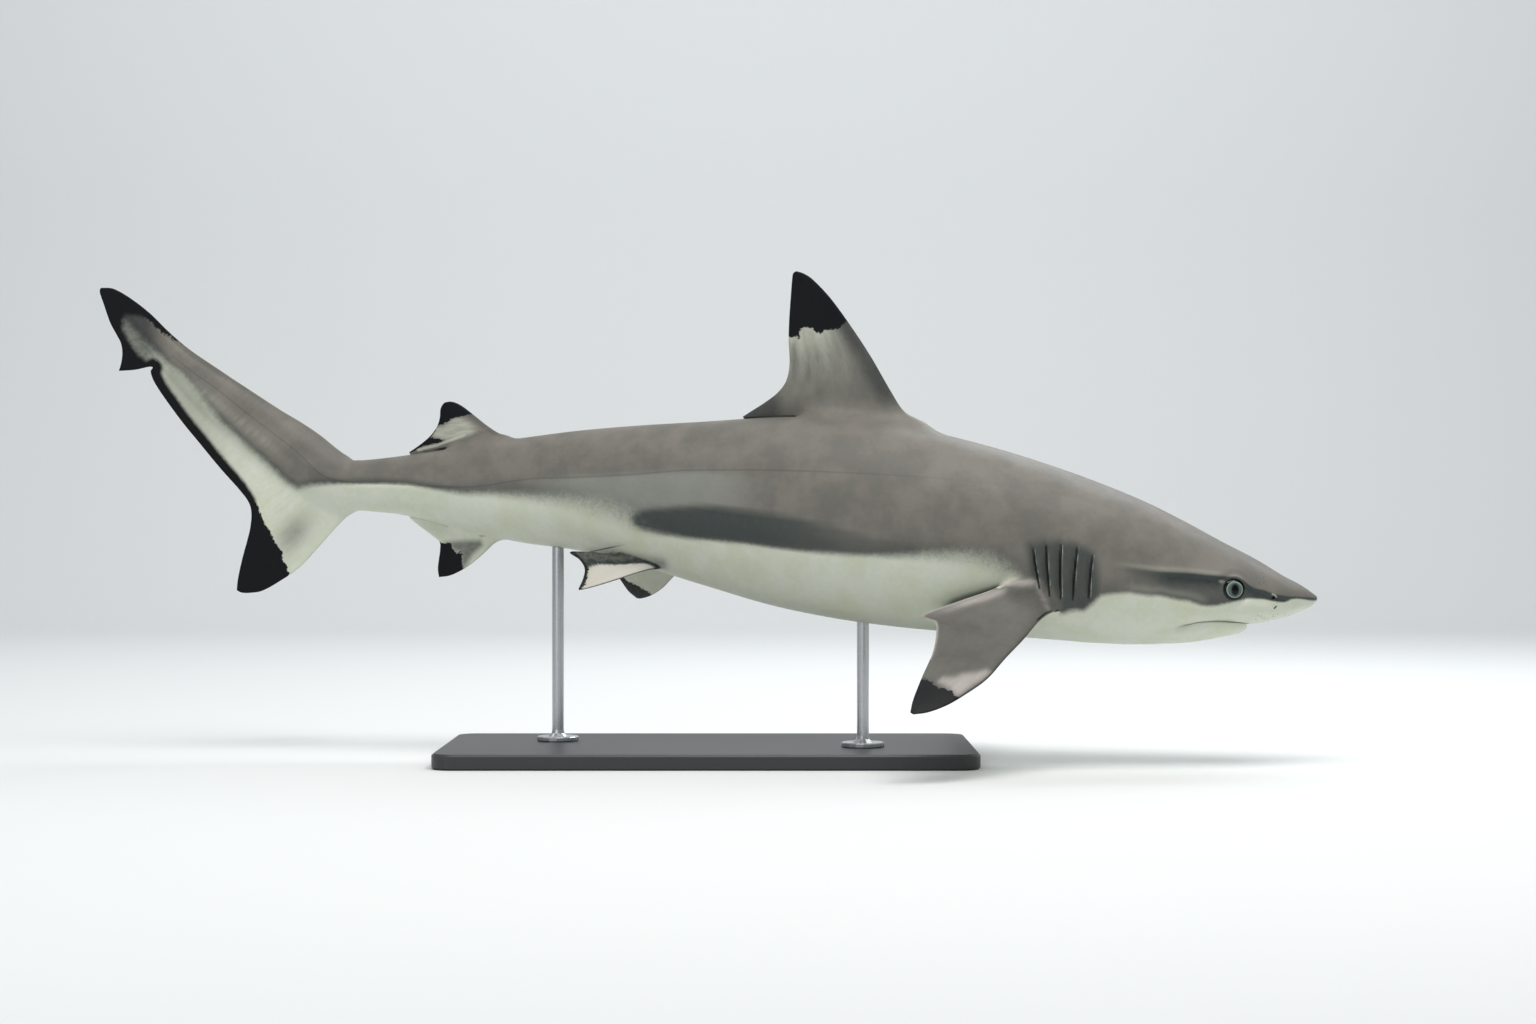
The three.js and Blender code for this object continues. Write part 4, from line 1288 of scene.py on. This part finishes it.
def paint_fields(co):
    """Marking fields of the skin, painted light and shade among them. dark and black are
    distances inside the marking in units of its softness. slit, rim, lateral, lid, crease and
    hollow are distances from a line or a point. ray, s and h are places, and the others are
    weights from 0 to 1."""
    names = "dark band flank wedge pale warm shade gloom ray streak lateral lid crease pores hollow"
    fields = {name: np.zeros(len(co)) for name in names.split()}
    fields["black"] = np.full(len(co), NO_BLACK)
    fields["slit"] = np.full(len(co), FAR)
    fields["rim"] = np.full(len(co), FAR)
    fields["s"], fields["h"] = co[:, 0], co[:, 2]
    skin = Patch(co, fields, np.full(len(co), True))
    s, over = skin.s, skin.over
    paint_body(skin)
    paint_first_dorsal(skin.part((s > 425) & (s < 670) & (over > 0.4)))
    paint_second_dorsal(skin.part((s > 915) & (s < 1065) & (over > 0.4)))
    paint_anal_fin(skin.part((s > 930) & (s < 1065) & (skin.z < belly_at(s) - 0.4)))
    paint_tail_fin(skin.part(s > 1135))
    paint_paired_fins(skin)
    paint_roots(skin)
    paint_head(skin)
    paint_gills(skin.part(skin.side > 40))
    paint_free_tips(skin)
    return fields


def lay_out(made, fields, material):
    """Stores marking fields on a straight mesh, bends it into place and colours it."""
    mesh = made.data
    for name, values in fields.items():
        layer = mesh.attributes.new("m_" + name, "FLOAT", "POINT")
        layer.data.foreach_set("value", values.astype(np.float32))
    mesh.vertices.foreach_set("co", bend(coords(mesh)).astype(np.float32).ravel())
    mesh.flip_normals()
    round_off(mesh, 60)
    mesh.materials.clear()
    mesh.materials.append(material)


def round_off(mesh, angle):
    """Smooth faces, with a crease only at edges sharper than the angle in degrees."""
    mesh.polygons.foreach_set("use_smooth", [True] * len(mesh.polygons))
    mesh.set_sharp_from_angle(angle=math.radians(angle))
    mesh.update()


# ------------------------------------------------------------------ shader helpers
def linear(r, g, b):
    """An 8-bit screen colour as linear light."""
    return (*(v / 3294.6 if v <= 10.31 else ((v / 255 + 0.055) / 1.055) ** 2.4
              for v in (r, g, b)), 1.0)


class Shader:
    """A small helper that adds and links shader nodes."""

    def __init__(self, name):
        self.material = bpy.data.materials.new(name)
        self.material.use_nodes = True
        self.tree = self.material.node_tree
        self.surface = self.tree.nodes["Principled BSDF"]

    def put(self, node, key, value):
        if isinstance(value, bpy.types.NodeSocket):
            self.tree.links.new(value, node.inputs[key])
        else:
            node.inputs[key].default_value = value

    def node(self, kind, inputs, **settings):
        """A new node with its inputs, by name or place, and its settings."""
        made = self.tree.nodes.new("ShaderNode" + kind)
        for key, value in settings.items():
            setattr(made, key, value)
        for key, value in inputs.items():
            self.put(made, key, value)
        return made

    def look(self, **inputs):
        """Sets inputs of the surface; a _ in a name stands for a space."""
        for key, value in inputs.items():
            self.put(self.surface, key.replace("_", " "), value)

    def field(self, name):
        return self.node("Attribute", {}, attribute_name="m_" + name).outputs["Fac"]

    def math(self, operation, a, b=0.0, clamp=False):
        return self.node("Math", {0: a, 1: b}, operation=operation, use_clamp=clamp).outputs[0]

    def times(self, a, b, clamp=False):
        return self.math("MULTIPLY", a, b, clamp)

    def plus(self, a, b, clamp=False):
        return self.math("ADD", a, b, clamp)

    def ramp(self, value, low, high, out_low=0.0, out_high=1.0):
        made = self.node("MapRange", dict(enumerate((value, low, high, out_low, out_high))),
                         interpolation_type="SMOOTHSTEP")
        return made.outputs[0]

    def noise(self, scale, detail, rough, vector):
        made = self.node("TexNoise", {"Scale": scale, "Detail": detail, "Roughness": rough,
                                      "Vector": vector})
        return made.outputs["Fac"]

    def grain(self, *how):
        """Noise about zero."""
        return self.math("SUBTRACT", self.noise(*how), 0.5)

    def mix(self, factor, a, b, blend="MIX"):
        made = self.node("Mix", {}, data_type="RGBA", blend_type=blend)
        for key, value in ((0, factor), (6, a), (7, b)):
            self.put(made, key, value)
        return made.outputs[2]

    def place(self):
        return self.node("TexCoord", {}).outputs["Object"]

    def bump(self, height, distance, strength, **normal):
        made = self.node("Bump", {"Strength": strength, "Distance": distance,
                                  "Height": height, **normal})
        return made.outputs["Normal"]


BACK = linear(104, 102, 96)
BACK_LIGHT = linear(119, 115, 108)
BAND = linear(60, 67, 66)
WEDGE_TONE = linear(138, 142, 135)
PALE = linear(206, 210, 196)
PALE_WARM = linear(199, 203, 181)
BLACK = linear(7, 9, 12)
FIN_PALE = linear(190, 192, 176)
FIN_WARM = linear(205, 197, 190)
SHADE = linear(48, 52, 53)
SLIT_DARK = linear(18, 22, 24)


def skin_material():
    m = Shader("shark_skin")
    at = m.place()
    wide = m.grain(22, 4, 0.6, at)
    mid = m.grain(170, 4, 0.65, at)
    tiny = m.grain(900, 3, 0.7, at)
    uneven = m.plus(1.0, m.times(mid, 0.5))
    # streaks along the fin rays
    rays = m.node("CombineXYZ", {0: m.times(m.field("ray"), 0.24),
                                 1: m.times(m.field("s"), 0.03),
                                 2: m.times(m.field("h"), 0.03)})
    streak = m.times(m.grain(1.0, 4, 0.6, rays.outputs[0]), m.field("streak"))
    speckle = m.plus(mid, m.times(tiny, 1.5))
    ragged = m.plus(m.times(m.grain(380, 2, 0.5, at), 9.0), m.times(tiny, 3.0))
    feathered = m.plus(ragged, m.times(streak, 11.0))
    # back and belly
    on_back = m.ramp(m.plus(m.field("dark"), speckle), -1.15, 1.15)
    back = m.mix(m.ramp(wide, -0.16, 0.18), BACK, BACK_LIGHT)
    back = m.mix(m.times(m.field("wedge"), 0.6), back, WEDGE_TONE)
    # the band is dark colour; under the brow's ridge it is partly painted shade
    back = m.mix(m.times(m.field("band"), uneven, clamp=True), back, BAND)
    belly = m.mix(m.ramp(wide, -0.15, 0.2), PALE, PALE_WARM)
    colour = m.mix(on_back, belly, back)
    flank = m.times(m.field("flank"), m.plus(1.0, m.times(speckle, 0.35)))
    colour = m.mix(m.times(flank, 0.92, clamp=True), colour, BAND)
    # pale and dark tones of the fins and skin, painted highlights and painted shade among them
    some = m.times(m.ramp(m.field("warm"), 0.0, 1.0, 0.8, 0.35), streak)
    some = m.times(some, m.ramp(m.field("pale"), 0.02, 0.4))
    colour = m.mix(m.plus(m.field("pale"), some, clamp=True), colour,
                   m.mix(m.field("warm"), FIN_PALE, FIN_WARM))
    colour = m.mix(m.times(m.field("shade"), uneven, clamp=True), colour, SHADE)
    on_black = m.ramp(m.plus(m.field("black"), m.times(feathered, 0.6)), -0.8, 0.8)
    gloom = m.ramp(m.plus(m.field("gloom"), m.times(mid, 0.3)), 0.08, 0.85)
    colour = m.mix(m.math("MAXIMUM", on_black, gloom), colour, BLACK)
    # painted highlights on the gill flaps' rear edges and the nostril's flap, and the pale streak
    # of the second dorsal fin; painted shade in the gill slits and under the free rear tips, and
    # the dark line at the front of the pectoral fin's root
    rim = m.plus(m.field("rim"), m.times(mid, 0.8))
    colour = m.mix(m.ramp(rim, 0.3, 1.45, 0.72, 0.0), colour, FIN_PALE)
    colour = m.mix(m.ramp(m.field("slit"), 0.6, 1.9, 0.9, 0.0), colour, SLIT_DARK)
    # lateral line, painted shade along the crease over the pelvic fin and painted shadow in the
    # hollow over the pectoral fin's rear edge; each is a line that fades in, and out again, with
    # the station
    middle = m.ramp(m.math("ABSOLUTE", m.field("lateral")), 0.4, 1.5, 0.26, 0.0)
    crease = m.ramp(m.math("ABSOLUTE", m.field("crease")), 0.2, 1.25, 0.9, 0.0)
    hollow = m.times(m.ramp(m.field("hollow"), -4.0, -1.5),
                     m.ramp(m.field("hollow"), 0.5, 7.0, 0.8, 0.0))
    for line, fades in ((middle, [(300, 600)]), (crease, [(776, 806), (850, 838)]),
                        (hollow, [(346, 362), (420, 402)])):
        for begin, full in fades:
            out = (0.0, 1.0) if begin < full else (1.0, 0.0)
            line = m.times(line, m.ramp(m.field("s"), min(begin, full), max(begin, full), *out))
        colour = m.mix(line, colour, SHADE)
    # pores of the snout
    dots = m.node("TexVoronoi", {"Scale": 300.0, "Vector": at})
    dots = m.ramp(dots.outputs["Distance"], 0.17, 0.27, 0.85, 0.0)
    colour = m.mix(m.times(dots, m.field("pores")), colour, SHADE)
    # dark edge of the eyelids
    colour = m.mix(m.ramp(m.field("lid"), 11.4, 13.0, 0.85, 0.0), colour, SLIT_DARK)
    # fine mottling
    tone = m.plus(1.0, m.plus(m.times(mid, 0.13), m.times(tiny, 0.2)))
    tone = m.plus(tone, m.times(streak, 0.2))
    grey = m.node("CombineColor", {0: tone, 1: tone, 2: tone})
    colour = m.mix(1.0, colour, grey.outputs[0], "MULTIPLY")
    fine = m.bump(m.noise(1500, 2, 0.5, at), 0.0005, 0.3)
    rayed = m.bump(streak, 0.0012, 0.5, Normal=fine)
    dimples = m.bump(m.noise(90, 3, 0.5, at), 0.001, 0.14, Normal=rayed)
    m.look(Base_Color=colour, Roughness=0.44, Specular_IOR_Level=0.15, Coat_Weight=0.015,
           Coat_Roughness=0.3, Normal=dimples)
    return m.material


# ------------------------------------------------------------------ eyes
def eye_material(name):
    """Rings of the eye, measured across the ball from its own axis."""
    m = Shader("look_" + name)

    def radius(width, height):
        square = [m.math("POWER", m.math("DIVIDE", m.field(axis), size), 2.0)
                  for axis, size in (("back", width), ("up", height))]
        return m.math("SQRT", m.plus(*square))

    r = radius(1.0, 1.0)
    pupil = radius(0.76, 1.12)
    iris = m.mix(m.noise(1100, 3, 0.65, m.place()), linear(70, 87, 82), linear(97, 113, 105))
    silver = m.times(m.ramp(r, 7.7, 8.6), m.ramp(r, 9.0, 9.5, 1.0, 0.0))
    iris = m.mix(m.times(silver, 0.8), iris, linear(150, 166, 156))
    iris = m.mix(m.ramp(pupil, 4.9, 7.6, 0.85, 0.0), iris, linear(20, 28, 29))
    colour = m.mix(m.ramp(pupil, 4.5, 4.95), linear(1, 1, 2), iris)
    colour = m.mix(m.ramp(r, 9.1, 9.6), colour, linear(3, 4, 5))
    m.look(Base_Color=colour, Roughness=0.07, Specular_IOR_Level=0.22)
    return m.material


def build_eyes():
    for side, name in ((-1, "eye_right"), (1, "eye_left")):
        verts, faces, own = eye_ball(side, 0.0, 96)
        made = new_object("look_" + name, verts, faces)
        lay_out(made, {"back": own[:, 0], "up": own[:, 2]}, eye_material(name))
        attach(made, "root")
        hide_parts(name)


# ------------------------------------------------------------------ stand
def stand_materials():
    base = Shader("stand_base")
    grain = base.noise(260, 3, 0.5, base.place())
    base.look(Base_Color=base.mix(grain, linear(44, 45, 47), linear(50, 51, 53)), Roughness=0.42,
              Normal=base.bump(grain, 0.0002, 0.2))
    rod = Shader("stand_rod")
    drawn = rod.node("Mapping", {"Vector": rod.place(), "Scale": (1, 1, 30)})
    brushed = rod.ramp(rod.noise(300, 2, 0.5, drawn.outputs[0]), 0.3, 0.7, 0.24, 0.36)
    rod.look(Metallic=1.0, Base_Color=linear(188, 190, 192), Roughness=brushed)
    return base.material, rod.material


def dress_stand():
    base, rod = stand_materials()
    for name, look, kind in (("stand_base", base, "base"), ("stand_rod_front", rod, "rod"),
                             ("stand_rod_rear", rod, "rod")):
        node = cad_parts[name]
        node.data.materials.clear()
        node.data.materials.append(look)
        round_off(node.data, 35)


# ------------------------------------------------------------------ studio
FLOOR_SIDE, FLOOR_FRONT, WALL, WALL_TOP, CURVE = 9.0, 6.0, 4.6, 4.5, 1.2
# Soft lights: place, aim, width and height, power and colour.
LIGHTS = [
    ((0.4, -1.1, 2.9), (0, 0, 0.25), (2.8, 1.4), 84, (1.0, 0.985, 0.96)),
    ((-1.6, -2.6, 1.0), (-0.2, 0, 0.3), (1.6, 1.6), 9, (0.95, 0.98, 1.0)),
    ((1.3, 1.6, 2.0), (0.3, 0, 0.3), (1.8, 1.2), 22, (0.95, 0.98, 1.0)),
    ((0.0, 1.6, 3.4), (0, 4.2, 0.8), (6.0, 0.8), 75, (0.97, 0.98, 1.0)),
]
CAMERA_PLACE = (0.070, -3.200, 0.290)
CAMERA_LENS = 63.83


def build_floor():
    """A floor that curves up into a wall behind the shark."""
    profile = [(-FLOOR_FRONT, 0.0), (WALL - CURVE, 0.0)]
    for a in np.linspace(0, math.pi / 2, 13)[1:]:
        profile.append((WALL - CURVE + CURVE * math.sin(a), CURVE - CURVE * math.cos(a)))
    profile.append((WALL, WALL_TOP))
    verts = [(x, y, z) for y, z in profile for x in (-FLOOR_SIDE, FLOOR_SIDE)]
    faces = [(2 * i, 2 * i + 1, 2 * i + 3, 2 * i + 2) for i in range(len(profile) - 1)]
    sweep = new_object("studio_floor", verts, faces)
    sweep.data.polygons.foreach_set("use_smooth", [True] * len(faces))
    m = Shader("studio_floor")
    m.look(Base_Color=linear(222, 224, 224), Roughness=0.9)
    sweep.data.materials.append(m.material)


def soft_light(place, aim, size, power, tint):
    data = bpy.data.lights.new("soft_light", "AREA")
    data.shape = "RECTANGLE"
    data.size, data.size_y = size
    data.energy = power
    data.color = tint
    lamp = add_object("soft_light", data)
    lamp.location = place
    lamp.rotation_mode = "QUATERNION"
    lamp.rotation_quaternion = (Vector(aim) - Vector(place)).to_track_quat("-Z", "Y")


def build_studio():
    build_floor()
    scene = bpy.context.scene
    scene.world = bpy.data.worlds.new("studio")
    scene.world.use_nodes = True
    sky = scene.world.node_tree.nodes["Background"]
    sky.inputs[0].default_value = (0.86, 0.9, 0.93, 1)
    sky.inputs[1].default_value = 0.42
    for light in LIGHTS:
        soft_light(*light)
    data = bpy.data.cameras.new("camera")
    data.sensor_width = 36.0
    data.lens = CAMERA_LENS
    data.clip_end = 60
    camera = add_object("camera", data)
    camera.location = CAMERA_PLACE
    camera.rotation_euler = (math.pi / 2, 0, 0)
    scene.camera = camera
    scene.view_settings.view_transform = "Standard"


FLESH = [
    "head", "lower_jaw", "gill_region", "trunk_front", "trunk_rear", "tail_stalk",
    "caudal_fin_upper_lobe", "caudal_fin_lower_lobe", "first_dorsal_fin",
    "second_dorsal_fin", "anal_fin", "pectoral_fin_right", "pectoral_fin_left",
    "pelvic_fin_right", "pelvic_fin_left",
]

skin = build_skin()
open_skin(skin)
lay_out(skin, paint_fields(coords(skin.data)), skin_material())
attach(skin, "root")
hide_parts(*FLESH)
build_eyes()
dress_stand()
build_studio()
